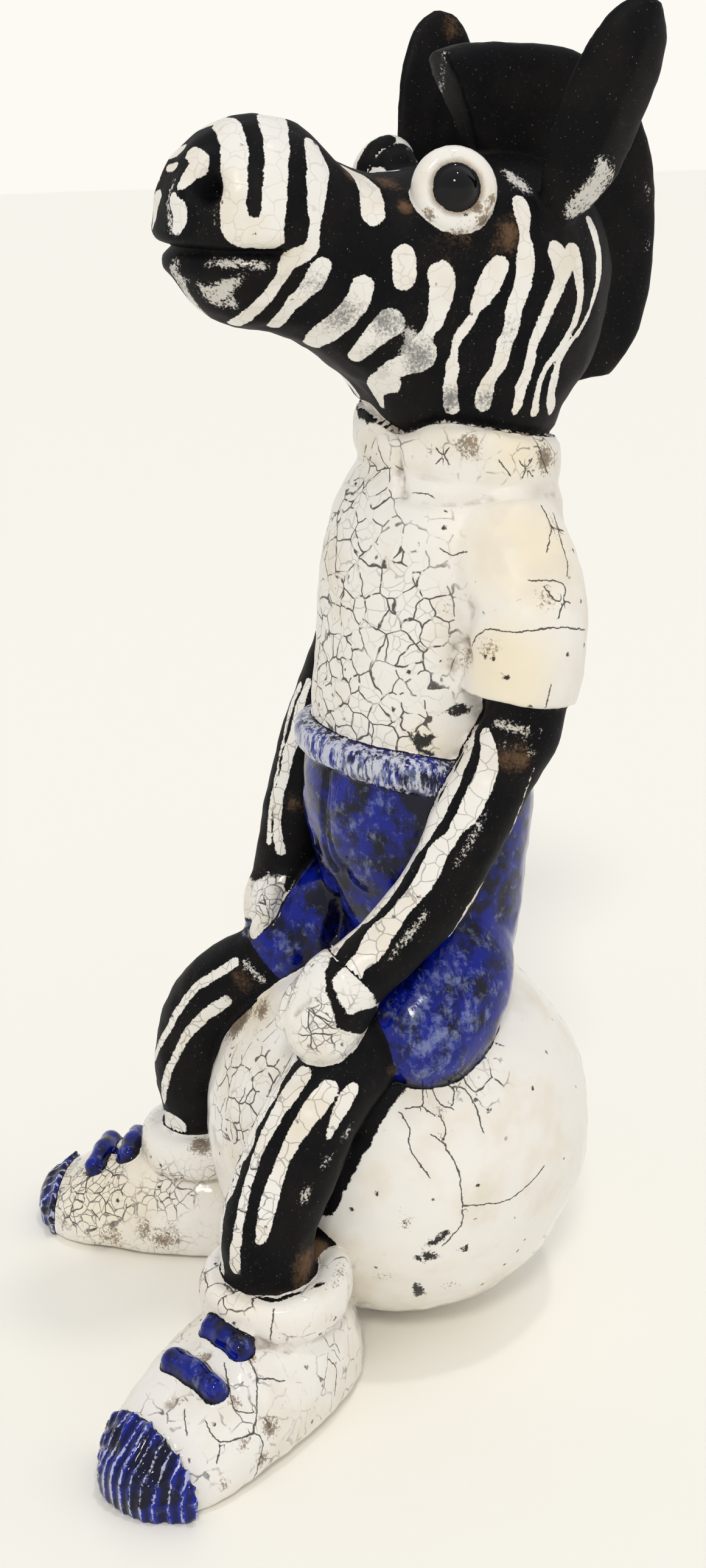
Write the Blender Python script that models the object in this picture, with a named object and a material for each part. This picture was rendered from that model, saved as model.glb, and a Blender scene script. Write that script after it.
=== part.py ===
"""A raku-fired zebra figurine, sitting on a ball in a shirt, shorts and laced shoes.

The clay was pressed together form by form and fired as one piece, so the forms are fused into one solid.
Frame: metres, +Z up, the zebra faces -Y and its left side is +X. The origin is on the table under the ball.
Sizes below are in millimetres.
"""

import math

import bmesh
import bpy
from mathutils import Matrix, Vector

MM = 0.001
LEFT = 1
RIGHT = -1
FORWARD = Vector((0, -1, 0))
X_AXIS = Vector((1, 0, 0))
Z_AXIS = Vector((0, 0, 1))

# The ball that the figure sits on, flat where it stands
BALL_RADIUS = 80
BALL_HALF_HEIGHT = 82
BALL_CENTRE_Z = 79
TABLE_DEPTH = 40

# The head, as stations from the full muzzle back over the crown and down the neck.
# Each gives the upper profile (y, z), the lower profile (y, z), the half width and the squareness.
MUZZLE_DOME = 34
MUZZLE_RINGS = 4
HEAD = [
    (-60, 484, -60, 410, 33, 1),
    (-46, 481, -47, 406, 33, 1),
    (-32, 469, -36, 400, 32, 0.9),
    (-15, 463, -27, 393, 34, 0.8),
    (6, 464, -20, 388, 37, 0.75),
    (38, 468, -16, 382, 39, 0.8),
    (68, 456, -15, 376, 40, 0.9),
    (83, 430, -13, 370, 39, 1),
    (78, 400, -10, 364, 36, 1),
    (62, 376, -8, 358, 33, 1),
    (60, 345, -8, 343, 32, 1),
]
MOUTH_Z = 439
MOUTH_CORNER_Y = -62
MOUTH_RADIUS = 3
MOUTH_STEP_DEGREES = 30
NOSTRIL = (19, -84, 462)
NOSTRIL_RADIUS = 4.5

# The mane, a slab on the crest: outer edge (y, z), root (y, z), half width outside and at the root
MANE = [
    (12, 503, 30, 462, 12, 5),
    (24, 506, 34, 462, 11, 6),
    (47, 507, 46, 460, 9, 6),
    (72, 501, 58, 455, 8, 7),
    (96, 484, 68, 446, 7, 7),
    (106, 455, 74, 432, 6, 7),
    (106, 425, 74, 415, 6, 7),
    (101, 400, 70, 398, 5, 6),
    (90, 384, 60, 382, 4, 6),
]
MANE_SQUARENESS = 0.6

# Ears, as root and tip on each side, and the leaf that is swept between them
EARS = {LEFT: ((31, 45, 446), (51, 68, 522)), RIGHT: ((-35, 28, 446), (-52, 43, 517))}
EAR_HALF_WIDTH = 17
EAR_HALF_THICKNESS = 5
EAR_FOLD = 4
EAR_BLUNTNESS = 2.6
EAR_RIM_SHARE = 0.5
EAR_STEPS = 9

# Eyes: a seat, a ring of clay and a ball in it, facing out, a little forward and a little up
EYES = {LEFT: (31, 3, 458), RIGHT: (-30, 6, 459)}
EYE_FACING_AZIMUTH = 72
EYE_FACING_LIFT = 15
EYE_RING_RADIUS = 10.5
EYE_RING_TUBE = 5
EYE_BALL_RADIUS = 8.5
EYE_BALL_PROUD = 1
EYE_SEAT_RADII = (13, 13, 9)
EYE_SEAT_DEPTH = 6

# The shirt: body stations (y, z, half width, half depth), then the rolled collar
SHIRT = [
    (9, 238, 43, 41),
    (10, 262, 45, 44),
    (14, 290, 47, 46),
    (17, 320, 47, 46),
    (20, 342, 43, 44),
    (22, 358, 36, 36),
    (23, 368, 31, 31),
]
COLLAR_CENTRE = (0, 23, 361)
COLLAR_RADII = (34, 34)
COLLAR_HALF_HEIGHT = 11
COLLAR_HALF_THICKNESS = 6
COLLAR_LEAN = 12
COLLAR_NOTCH_AZIMUTH = 25
COLLAR_NOTCH_DEPTH = 8
COLLAR_NOTCH_SPREAD = 18

# Limbs, as stations (x, y, z, radius) along the middle of each.
# A free end is a dome, a share of its radius deep.
LIMB_DOME_SHARE = 0.9
SLEEVES = {
    LEFT: [(18, 22, 336, 22), (36, 24, 326, 25), (48, 24, 308, 25),
           (53, 23, 290, 23.5), (54, 21, 277, 21.5)],
    RIGHT: [(-18, 20, 338, 21), (-34, 20, 334, 22), (-45, 18, 324, 21), (-50, 16, 311, 20)],
}
ARMS = {
    LEFT: [(57, 23, 282, 15), (57, 21, 266, 15), (56, 11, 249, 15), (57, 0, 230, 15),
           (56, -13, 206, 14.5), (54, -27, 189, 14), (52, -42, 177, 13.5), (51, -50, 170, 14)],
    RIGHT: [(-49, 17, 322, 15), (-52, 12, 296, 15), (-56, 4, 268, 15), (-57, -6, 246, 14.5),
            (-54, -17, 220, 14), (-49, -26, 196, 13.5), (-44, -33, 174, 13)],
}
HANDS = {
    LEFT: [(52, -46, 176, 14), (51, -54, 166, 16), (50, -59, 154, 15)],
    RIGHT: [(-44, -33, 178, 12.5), (-41, -37, 167, 14.5), (-39, -38, 157, 13.5)],
}
THUMBS = {
    LEFT: [(42, -56, 172, 5), (39, -63, 164, 5.5), (40, -69, 155, 5)],
    RIGHT: [(-33, -42, 176, 4.5), (-30, -47, 168, 5), (-31, -49, 160, 4.5)],
}
LEGS = {
    LEFT: [(36, -16, 145, 18), (46, -38, 140, 18.5), (53, -57, 124, 19), (55, -70, 101, 20),
           (55, -80, 80, 19.5), (53, -82, 58, 18), (52, -80, 28, 21)],
    RIGHT: [(-24, -20, 148, 18), (-36, -44, 142, 18), (-50, -57, 127, 18.5), (-60, -64, 106, 19),
            (-65, -65, 84, 18.5), (-69, -60, 58, 18), (-70, -58, 28, 21)],
}

# The shorts: body stations (y, z, half width, half depth), the waistband roll and the two legs
SHORTS = [
    (9, 249, 45, 43),
    (8, 238, 48, 45),
    (8, 218, 48, 45),
    (9, 195, 48, 41),
    (11, 170, 46, 35),
    (12, 148, 44, 30),
    (12, 132, 38, 25),
]
SHORTS_LEGS = {
    LEFT: [(12, 8, 176, 30), (30, 1, 161, 31), (41, -8, 150, 29), (45, -15, 144, 27)],
    RIGHT: [(-14, 10, 174, 30), (-26, -8, 161, 30), (-32, -24, 153, 26), (-34, -33, 149, 23)],
}
WAISTBAND_CENTRE = (0, 8, 243)
WAISTBAND_RADII = (46, 44)
WAISTBAND_HALF_HEIGHT = 6.5
WAISTBAND_HALF_THICKNESS = 5
WAISTBAND_LEAN = 9
BAND_EDGE_SQUARENESS = 0.7
BAND_FACE_SQUARENESS = 0.8

# Shoes: the ankle's place, the angle that each toe turns out and the foot's length beside the left one.
# Then foot stations (distance in front of the ankle, half width, height), ankle band, toe cap and laces.
SHOES = {LEFT: ((52, -80), 28, 1), RIGHT: ((-70, -58), 38, 0.84)}
FOOT = [
    (-36, 16, 28),
    (-20, 27, 43),
    (4, 32, 47),
    (28, 33, 42),
    (52, 31, 35),
    (70, 27, 28),
    (81, 20, 22),
    (87, 12, 17),
]
FOOT_WIDEST_SHARE = 0.3
FOOT_END = 4
UPPER_SQUARENESS = 0.85
SOLE_SQUARENESS = 0.6
FOOT_SEARCH_STEPS = 8
SOLE_OVERCUT = 3
CUFF_RADII = (23, 23)
CUFF_Z = 49
CUFF_HALF_HEIGHT = 10
CUFF_HALF_THICKNESS = 7
CUFF_LEAN = -6
TOE_CAP_START = 70
TOE_CAP_OVERCUT = 5
TOE_CAP_THICKNESS = 2.5
TOE_RIDGES = 11
TOE_RIDGE_HEIGHT = 1.2
LACE_PLACES = (31, 50)
LACE_HALF_LENGTHS = (12, 15)
LACE_RADIUS = 4.5
LACE_LIFT = 1

# A lump of clay that was pressed in behind each ankle to tie it to the ball
ANKLE_LUMPS = {LEFT: ((42, -60, 52), (15, 13, 15)), RIGHT: ((-54, -48, 52), (15, 13, 15))}

# Facets: sides round a body or a limb, and steps between stations
BALL_SIDES = 28
BODY_SIDES = 24
LIMB_SIDES = 12
SMALL_SIDES = 8
UPPER_SIDES = 12
SOLE_SIDES = 6
EYE_SIDES = 10
EYE_RING_SIDES = 16
CUFF_SIDES = 18
BAND_PROFILE = 6
STEPS = 2


def signed_power(value, power):
    return math.copysign(abs(value) ** power, value)


def smooth_rows(rows, steps):
    """Samples of a smooth curve (Catmull-Rom) through rows of numbers, with the rows themselves kept."""
    padded = [rows[0], *rows, rows[-1]]
    samples = []
    for first in range(len(rows) - 1):
        quad = padded[first:first + 4]
        for step in range(steps):
            t = step / steps
            samples.append([
                (2 * q + (r - p) * t + (2 * p - 5 * q + 4 * r - s) * t ** 2 + (3 * (q - r) + s - p) * t ** 3) / 2
                for p, q, r, s in zip(*quad)
            ])
    samples.append(list(rows[-1]))
    return samples


def centre_of(ring):
    return sum(ring, Vector()) / len(ring)


def rounded_end(ring, outward, depth, count=2):
    """Rings that close a loft with a dome of this depth, beyond its last ring."""
    middle = centre_of(ring)
    rings = []
    for step in range(1, count + 1):
        angle = step / (count + 0.5) * math.pi / 2
        reach = outward * depth * math.sin(angle)
        rings.append([middle + (p - middle) * math.cos(angle) + reach for p in ring])
    return rings


def clay(name, colour, roughness):
    material = bpy.data.materials.new(name)
    material.use_nodes = True
    shader = material.node_tree.nodes["Principled BSDF"]
    shader.inputs["Base Color"].default_value = (*colour, 1)
    shader.inputs["Roughness"].default_value = roughness
    return material


def add_form(name, mesh_builder, material, parent=None):
    """A named form of clay: a guide that the union takes up, so it isn't rendered itself."""
    mesh = bpy.data.meshes.new(name)
    mesh_builder.to_mesh(mesh)
    mesh_builder.free()
    mesh.materials.append(material)
    form = bpy.data.objects.new(name, mesh)
    form.parent = parent
    form.hide_render = True
    form.display_type = "WIRE"
    return form


def skin(rings):
    """A closed loft through rings of the same number of points, in millimetres."""
    mesh_builder = bmesh.new()
    loops = [[mesh_builder.verts.new(p * MM) for p in ring] for ring in rings]
    for near, far in zip(loops, loops[1:]):
        for k in range(len(near)):
            after = (k + 1) % len(near)
            mesh_builder.faces.new((near[k], near[after], far[after], far[k]))
    mesh_builder.faces.new(loops[0])
    mesh_builder.faces.new(loops[-1])
    bmesh.ops.recalc_face_normals(mesh_builder, faces=mesh_builder.faces)
    return mesh_builder


def hoop(rings):
    """A closed band through rings that come back to the first one."""
    mesh_builder = bmesh.new()
    loops = [[mesh_builder.verts.new(p * MM) for p in ring] for ring in rings]
    for near, far in zip(loops, loops[1:] + loops[:1]):
        for k in range(len(near)):
            after = (k + 1) % len(near)
            mesh_builder.faces.new((near[k], near[after], far[after], far[k]))
    bmesh.ops.recalc_face_normals(mesh_builder, faces=mesh_builder.faces)
    return mesh_builder


def egg(centre, radii, sides, facing=None):
    """An ellipsoid, turned so that its third radius points along facing."""
    mesh_builder = bmesh.new()
    bmesh.ops.create_uvsphere(mesh_builder, u_segments=sides, v_segments=sides // 2, radius=1)
    turn = (facing or Z_AXIS).to_track_quat("Z", "Y").to_matrix().to_4x4()
    scale = Matrix.Diagonal((*(r * MM for r in radii), 1))
    place = Matrix.Translation(Vector(centre) * MM)
    bmesh.ops.transform(mesh_builder, matrix=place @ turn @ scale, verts=mesh_builder.verts)
    return mesh_builder


def fan_ring(upper, lower, upper_width, lower_width, squareness, sides):
    """An oval that stands on X between an upper and a lower point (y, z) of the side profile."""
    upper = Vector((0, *upper))
    lower = Vector((0, *lower))
    ring = []
    for k in range(sides):
        angle = 2 * math.pi * k / sides
        up = signed_power(math.cos(angle), squareness)
        out = signed_power(math.sin(angle), squareness)
        width = lower_width + (upper_width - lower_width) * (up + 1) / 2
        ring.append((upper + lower) / 2 + (upper - lower) / 2 * up + X_AXIS * width * out)
    return ring


def level_rings(rows, sides):
    """Level ovals for the body of the shirt or the shorts."""
    rings = []
    for y, z, half_width, half_depth in rows:
        rings.append([
            Vector((half_width * math.cos(a), y + half_depth * math.sin(a), z))
            for a in (2 * math.pi * k / sides for k in range(sides))
        ])
    return rings


def limb_rings(rows, sides, dome_start=False, dome_end=True, steps=STEPS):
    """Round rings square to a path of (x, y, z, radius). An end is a dome, or flat where it is a hem."""
    samples = smooth_rows(rows, steps)
    points = [Vector(s[:3]) for s in samples]
    rings = []
    reference = X_AXIS
    for k, sample in enumerate(samples):
        along = (points[min(k + 1, len(points) - 1)] - points[max(k - 1, 0)]).normalized()
        side = (reference - along * reference.dot(along)).normalized()
        reference = side
        other = along.cross(side)
        rings.append([
            points[k] + (side * math.cos(a) + other * math.sin(a)) * sample[3]
            for a in (2 * math.pi * n / sides for n in range(sides))
        ])
    start = (points[0] - points[1]).normalized()
    end = (points[-1] - points[-2]).normalized()
    first = rounded_end(rings[0], start, samples[0][3] * LIMB_DOME_SHARE) if dome_start else []
    last = rounded_end(rings[-1], end, samples[-1][3] * LIMB_DOME_SHARE) if dome_end else []
    return [*reversed(first), *rings, *last]


def band_rings(centre, radii, half_thickness, half_height, lean, sides, profile, lift=None):
    """Profiles round an oval: a collar, a waistband or a cuff. It leans down towards +Y."""
    slope = math.tan(math.radians(lean))
    rings = []
    for k in range(sides):
        azimuth = 360 * k / sides
        around = math.radians(azimuth)
        outward = Vector((math.sin(around), -math.cos(around), 0))
        middle = Vector((radii[0] * outward.x, radii[1] * outward.y, 0))
        middle.z = -slope * middle.y
        dip = lift(azimuth) if lift else 0
        ring = []
        for n in range(profile):
            angle = 2 * math.pi * n / profile
            rise = signed_power(math.sin(angle), BAND_EDGE_SQUARENESS) * half_height
            reach = signed_power(math.cos(angle), BAND_FACE_SQUARENESS) * half_thickness
            rise += dip * (rise + half_height) / (2 * half_height)
            ring.append(Vector(centre) + middle + outward * reach + Z_AXIS * rise)
        rings.append(ring)
    return rings


def collar_dip(azimuth):
    """The V where the two ends of the collar meet, on the front left."""
    away = (azimuth - COLLAR_NOTCH_AZIMUTH + 180) % 360 - 180
    return -COLLAR_NOTCH_DEPTH * math.exp(-((away / COLLAR_NOTCH_SPREAD) ** 2))


def foot_ring(row, upper_sides, grow=0, ridges=0):
    """A shoe's section: a round upper over a nearly flat sole. Ridges run over its upper side."""
    along, half_width, height = row
    widest = height * FOOT_WIDEST_SHARE
    ring = []
    upper_angles = [math.pi * k / upper_sides for k in range(upper_sides)]
    sole_angles = [math.pi * (1 + k / SOLE_SIDES) for k in range(SOLE_SIDES)]
    for angle in upper_angles + sole_angles:
        across = signed_power(math.cos(angle), UPPER_SQUARENESS)
        up = math.sin(angle)
        swell = grow
        if ridges and up > 0:
            swell += TOE_RIDGE_HEIGHT * (1 - math.cos(2 * ridges * angle)) / 2
        if up > 0:
            z = widest + (height - widest + swell) * up
        else:
            overcut = TOE_CAP_OVERCUT if grow else SOLE_OVERCUT
            z = widest + (widest + overcut) * signed_power(up, SOLE_SQUARENESS)
        ring.append(Vector(((half_width + swell) * across, -along, z)))
    return ring


def foot_height(along, across):
    """The height of the shoe's upper over a point of its plan."""
    rows = smooth_rows(FOOT, FOOT_SEARCH_STEPS)
    row = min(rows, key=lambda r: abs(r[0] - along))
    widest = row[2] * FOOT_WIDEST_SHARE
    share = min(1, abs(across) / row[1])
    return widest + (row[2] - widest) * math.sqrt(1 - share ** (2 / UPPER_SQUARENESS))


def build_head(black, white, gloss):
    skull = [fan_ring(row[0:2], row[2:4], row[4], row[4], row[5], BODY_SIDES)
             for row in smooth_rows(HEAD, STEPS)]
    muzzle = rounded_end(skull[0], FORWARD, MUZZLE_DOME, MUZZLE_RINGS)
    forms = [add_form("head", skin([*reversed(muzzle), *skull]), black)]
    mane = [fan_ring(row[0:2], row[2:4], row[4], row[5], MANE_SQUARENESS, SMALL_SIDES + 2)
            for row in smooth_rows(MANE, STEPS)]
    forms.append(add_form("mane", skin(mane), black))
    for side, label in ((LEFT, "left"), (RIGHT, "right")):
        forms.append(add_form(f"ear_{label}", skin(ear_rings(side)), black))
        facing = eye_facing(side)
        ring = hoop(eye_ring_rings(Vector(EYES[side]), facing))
        forms.append(add_form(f"eye_ring_{label}", ring, white))
        seat = egg(Vector(EYES[side]) - facing * EYE_SEAT_DEPTH, EYE_SEAT_RADII, EYE_SIDES, facing)
        forms.append(add_form(f"eye_seat_{label}", seat, black))
        ball = egg(Vector(EYES[side]) + facing * EYE_BALL_PROUD, (EYE_BALL_RADIUS,) * 3, EYE_SIDES)
        forms.append(add_form(f"eye_{label}", ball, gloss))
    return forms


def ear_rings(side):
    """A leaf with a soft fold down its middle, its hollow turned towards the mane."""
    root, tip = (Vector(p) for p in EARS[side])
    length = (tip - root).length
    along = (tip - root).normalized()
    across = along.cross(X_AXIS * side).normalized()
    outward = across.cross(along).normalized()
    if outward.x * side < 0:
        outward = -outward
    rings = []
    for step in range(1, EAR_STEPS):
        share = step / EAR_STEPS
        arch = math.sqrt(1 - abs(2 * share - 1) ** EAR_BLUNTNESS)
        ring = []
        for k in range(SMALL_SIDES + 2):
            angle = 2 * math.pi * k / (SMALL_SIDES + 2)
            reach = math.cos(angle)
            fold = EAR_FOLD * (1 - abs(reach)) * arch
            thick = EAR_HALF_THICKNESS * math.sin(angle) * (EAR_RIM_SHARE + (1 - EAR_RIM_SHARE) * arch)
            ring.append(root + along * length * share + across * EAR_HALF_WIDTH * arch * reach
                        + outward * (thick + fold))
        rings.append(ring)
    end = length / EAR_STEPS
    return [*reversed(rounded_end(rings[0], -along, end)), *rings, *rounded_end(rings[-1], along, end)]


def eye_facing(side):
    """The way an eye looks."""
    azimuth = math.radians(EYE_FACING_AZIMUTH)
    lift = math.radians(EYE_FACING_LIFT)
    level = Vector((side * math.sin(azimuth), -math.cos(azimuth), 0))
    return level * math.cos(lift) + Z_AXIS * math.sin(lift)


def eye_ring_rings(centre, facing):
    side = facing.cross(Z_AXIS).normalized()
    up = side.cross(facing)
    rings = []
    for k in range(EYE_RING_SIDES):
        around = 2 * math.pi * k / EYE_RING_SIDES
        outward = side * math.cos(around) + up * math.sin(around)
        middle = centre + outward * EYE_RING_RADIUS
        rings.append([
            middle + (outward * math.cos(a) + facing * math.sin(a)) * EYE_RING_TUBE
            for a in (2 * math.pi * n / BAND_PROFILE for n in range(BAND_PROFILE))
        ])
    return rings


def build_shirt(white):
    body = skin(level_rings(SHIRT, BODY_SIDES))
    collar = hoop(band_rings(COLLAR_CENTRE, COLLAR_RADII, COLLAR_HALF_THICKNESS, COLLAR_HALF_HEIGHT,
                             COLLAR_LEAN, BODY_SIDES, SMALL_SIDES, collar_dip))
    forms = [add_form("shirt", body, white), add_form("collar", collar, white)]
    for side, label in ((LEFT, "left"), (RIGHT, "right")):
        rings = limb_rings(SLEEVES[side], LIMB_SIDES + 2, dome_end=False)
        forms.append(add_form(f"sleeve_{label}", skin(rings), white))
    return forms


def build_shorts(blue):
    seat = skin(level_rings(SHORTS, BODY_SIDES))
    band = hoop(band_rings(WAISTBAND_CENTRE, WAISTBAND_RADII, WAISTBAND_HALF_THICKNESS, WAISTBAND_HALF_HEIGHT,
                           WAISTBAND_LEAN, BODY_SIDES, BAND_PROFILE))
    forms = [add_form("shorts", seat, blue), add_form("waistband", band, blue)]
    for side, label in ((LEFT, "left"), (RIGHT, "right")):
        rings = limb_rings(SHORTS_LEGS[side], LIMB_SIDES + 2)
        forms.append(add_form(f"shorts_leg_{label}", skin(rings), blue))
    return forms


def build_limbs(black, white):
    forms = []
    for side, label in ((LEFT, "left"), (RIGHT, "right")):
        for name, rows, material in (("arm", ARMS, black), ("leg", LEGS, black), ("hand", HANDS, white)):
            forms.append(add_form(f"{name}_{label}", skin(limb_rings(rows[side], LIMB_SIDES)), material))
        thumb = skin(limb_rings(THUMBS[side], SMALL_SIDES, dome_start=True, steps=1))
        forms.append(add_form(f"thumb_{label}", thumb, white))
        centre, radii = ANKLE_LUMPS[side]
        forms.append(add_form(f"ankle_lump_{label}", egg(centre, radii, SMALL_SIDES), black))
    return forms


def build_shoe(side, label, white, blue):
    """A shoe at its own ankle, in a frame that looks along -Y and is turned by the ankle's empty."""
    (x, y), turn_out, length = SHOES[side]
    ankle = bpy.data.objects.new(f"ankle_{label}", None)
    bpy.context.collection.objects.link(ankle)
    ankle.location = (x * MM, y * MM, 0)
    ankle.rotation_euler.z = math.radians(turn_out) * side
    rows = [(along * length, half_width, height) for along, half_width, height in FOOT]
    foot = [foot_ring(row, UPPER_SIDES) for row in rows]
    heel = rounded_end(foot[0], -FORWARD, FOOT_END)
    toe = rounded_end(foot[-1], FORWARD, FOOT_END)
    foot = [*reversed(heel), *foot, *toe]
    forms = [add_form(f"shoe_{label}", skin(foot), white, ankle)]
    cuff = band_rings((0, 0, CUFF_Z), CUFF_RADII, CUFF_HALF_THICKNESS, CUFF_HALF_HEIGHT, CUFF_LEAN,
                      CUFF_SIDES, BAND_PROFILE)
    forms.append(add_form(f"cuff_{label}", hoop(cuff), white, ankle))
    cap = [foot_ring(row, 2 * TOE_RIDGES, TOE_CAP_THICKNESS, TOE_RIDGES)
           for row in rows if row[0] >= TOE_CAP_START * length]
    cap += rounded_end(cap[-1], FORWARD, FOOT_END + TOE_CAP_THICKNESS)
    forms.append(add_form(f"toe_cap_{label}", skin(cap), blue, ankle))
    for number, (along, reach) in enumerate(zip(LACE_PLACES, LACE_HALF_LENGTHS), 1):
        lace = [(share * reach, -along * length, foot_height(along, share * reach) + LACE_LIFT, LACE_RADIUS)
                for share in (-1, 0, 1)]
        coil = skin(limb_rings(lace, SMALL_SIDES, dome_start=True, steps=1))
        forms.append(add_form(f"lace_{label}_{number}", coil, blue, ankle))
    return forms


def mouth_groove():
    """The round groove between the lips, from one corner of the mouth round to the other."""
    half_width = HEAD[0][4]
    rows = []
    for degrees in range(-90, 91, MOUTH_STEP_DEGREES):
        a = math.radians(degrees)
        straight = MOUTH_CORNER_Y if abs(degrees) == 90 else HEAD[0][0]
        rows.append((half_width * math.sin(a), straight - MUZZLE_DOME * math.cos(a), MOUTH_Z, MOUTH_RADIUS))
    return skin(limb_rings(rows, SMALL_SIDES, dome_start=True, steps=1))


def fuse(figurine, forms, cutters):
    """Union of every form with the ball, then the mouth, the nostrils and the flat underside cut away."""
    for name, objects, operation in (("pressed_on", forms, "UNION"), ("cut_away", cutters, "DIFFERENCE")):
        group = bpy.data.collections.new(name)
        bpy.context.scene.collection.children.link(group)
        for guide in objects:
            group.objects.link(guide)
        boolean = figurine.modifiers.new(name, "BOOLEAN")
        boolean.operation = operation
        boolean.operand_type = "COLLECTION"
        boolean.collection = group
        boolean.solver = "EXACT"
        boolean.material_mode = "TRANSFER"


def main():
    for old in list(bpy.data.objects):
        bpy.data.objects.remove(old)
    white = clay("white_crackle_glaze", (0.82, 0.80, 0.75), 0.25)
    blue = clay("cobalt_glaze", (0.04, 0.07, 0.38), 0.25)
    black = clay("smoked_black_clay", (0.03, 0.028, 0.026), 0.75)
    gloss = clay("black_eye_glaze", (0.01, 0.01, 0.01), 0.08)

    forms = build_head(black, white, gloss) + build_shirt(white) + build_shorts(blue)
    forms += build_limbs(black, white)
    for side, label in ((LEFT, "left"), (RIGHT, "right")):
        forms += build_shoe(side, label, white, blue)

    cutters = [add_form("mouth", mouth_groove(), black)]
    for side, label in ((LEFT, "left"), (RIGHT, "right")):
        pit = egg((side * NOSTRIL[0], NOSTRIL[1], NOSTRIL[2]), (NOSTRIL_RADIUS,) * 3, SMALL_SIDES)
        cutters.append(add_form(f"nostril_{label}", pit, black))
    table = bmesh.new()
    bmesh.ops.create_cube(table, size=1)
    depth = TABLE_DEPTH * MM
    below = Matrix.Translation((0, 0, -depth / 2)) @ Matrix.Diagonal((1, 1, depth, 1))
    bmesh.ops.transform(table, matrix=below, verts=table.verts)
    cutters.append(add_form("table_cut", table, white))

    body = egg((0, 0, BALL_CENTRE_Z), (BALL_RADIUS, BALL_RADIUS, BALL_HALF_HEIGHT), BALL_SIDES)
    figurine = add_form("zebra_figurine", body, white)
    figurine.hide_render = False
    figurine.display_type = "TEXTURED"
    bpy.context.collection.objects.link(figurine)
    fuse(figurine, forms, cutters)
    for polygon in figurine.data.polygons:
        polygon.use_smooth = True


main()
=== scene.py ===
# %% [markdown]
# # A raku zebra, dressed and sitting on a ball
# The real figurine was pressed together in clay form by form, glazed in white and cobalt, and smoked
# while hot. The smoke blackens bare clay and draws black lines into every crack of the white glaze.
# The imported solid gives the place, the pose and the size. This script makes the same forms again with
# finer rings, melts them into one skin, carves what is small, paints the glazes and lights the result.

# %% The frame that everything stands in
import math

import bmesh
import bpy
import numpy as np
from mathutils import Matrix, Vector, noise
from mathutils.bvhtree import BVHTree


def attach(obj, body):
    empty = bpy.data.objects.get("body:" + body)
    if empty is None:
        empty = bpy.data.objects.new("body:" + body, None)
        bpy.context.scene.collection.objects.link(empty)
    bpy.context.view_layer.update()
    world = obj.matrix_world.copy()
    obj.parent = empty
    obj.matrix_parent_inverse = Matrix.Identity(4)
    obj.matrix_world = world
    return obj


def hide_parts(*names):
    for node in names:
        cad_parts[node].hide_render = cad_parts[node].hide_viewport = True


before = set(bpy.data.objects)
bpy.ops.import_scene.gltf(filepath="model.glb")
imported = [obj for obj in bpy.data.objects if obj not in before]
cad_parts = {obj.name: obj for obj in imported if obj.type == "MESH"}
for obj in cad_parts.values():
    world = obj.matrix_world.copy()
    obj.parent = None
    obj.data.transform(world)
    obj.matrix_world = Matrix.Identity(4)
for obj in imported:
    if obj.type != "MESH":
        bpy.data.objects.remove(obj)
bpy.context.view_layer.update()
MM = 0.001
LEFT = 1
RIGHT = -1
SIDES = ((LEFT, "left"), (RIGHT, "right"))
FORWARD = Vector((0, -1, 0))
X_AXIS = Vector((1, 0, 0))
Z_AXIS = Vector((0, 0, 1))

# %% [markdown]
# The camera comes first, because the painted stripes are placed through it. A photograph of a figure this
# tall was taken from its left, a little above, so the lens looks down by 20 degrees.
# The angles were found by laying the solid's outline over the photograph until both agreed.

# %% The camera
PHOTO_WIDTH = 1160
PHOTO_HEIGHT = 2576
FOCAL_PIXELS = 3435
SENSOR_MM = 36
CAMERA_PLACE = Vector((0.6965, -0.3609, 0.5129))
CAMERA_TURN = (math.radians(70), 0, math.radians(64))

camera = bpy.data.objects.new("camera", bpy.data.cameras.new("camera"))
camera.data.sensor_width = SENSOR_MM
camera.data.lens = SENSOR_MM * FOCAL_PIXELS / PHOTO_HEIGHT
camera.location = CAMERA_PLACE
camera.rotation_euler = CAMERA_TURN
bpy.context.scene.collection.objects.link(camera)
bpy.context.scene.camera = camera
print("the lens is", round(camera.data.lens, 1), "mm")

# %% [markdown]
# Every form of the figurine is a loft: rings of points along a path, closed at both ends. One could sculpt
# by hand instead, but a loft is drawn from a few sizes and keeps to the solid exactly. These helpers join
# the rings. They work in millimetres, and a form is a pair of lists, its points and its faces.

# %% Rows, lofts and hoops
FINE_STEPS = 5
ROUND_STEPS = 8


def signed_power(value, power):
    return math.copysign(abs(value) ** power, value)


def between(p, q, r, s, t):
    """A number at the share t between q and r, on a smooth curve from p to s (Catmull-Rom)."""
    bend = 2 * p - 5 * q + 4 * r - s
    return (2 * q + (r - p) * t + bend * t ** 2 + (3 * (q - r) + s - p) * t ** 3) / 2


def smooth_rows(rows, steps=FINE_STEPS):
    """Samples of a smooth curve through rows of numbers, with the rows themselves kept."""
    padded = [rows[0], *rows, rows[-1]]
    samples = []
    for first in range(len(rows) - 1):
        quad = padded[first:first + 4]
        for step in range(steps):
            samples.append([between(*four, step / steps) for four in zip(*quad)])
    samples.append(list(rows[-1]))
    return samples


def turns(count):
    return [2 * math.pi * k / count for k in range(count)]


def rounded_end(ring, outward, depth, count=ROUND_STEPS):
    """Rings that close a loft with a dome of this depth, beyond its last ring."""
    middle = sum(ring, Vector()) / len(ring)
    rings = []
    for step in range(1, count + 1):
        angle = step / (count + 0.5) * math.pi / 2
        reach = outward * depth * math.sin(angle)
        rings.append([middle + (p - middle) * math.cos(angle) + reach for p in ring])
    return rings


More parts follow.
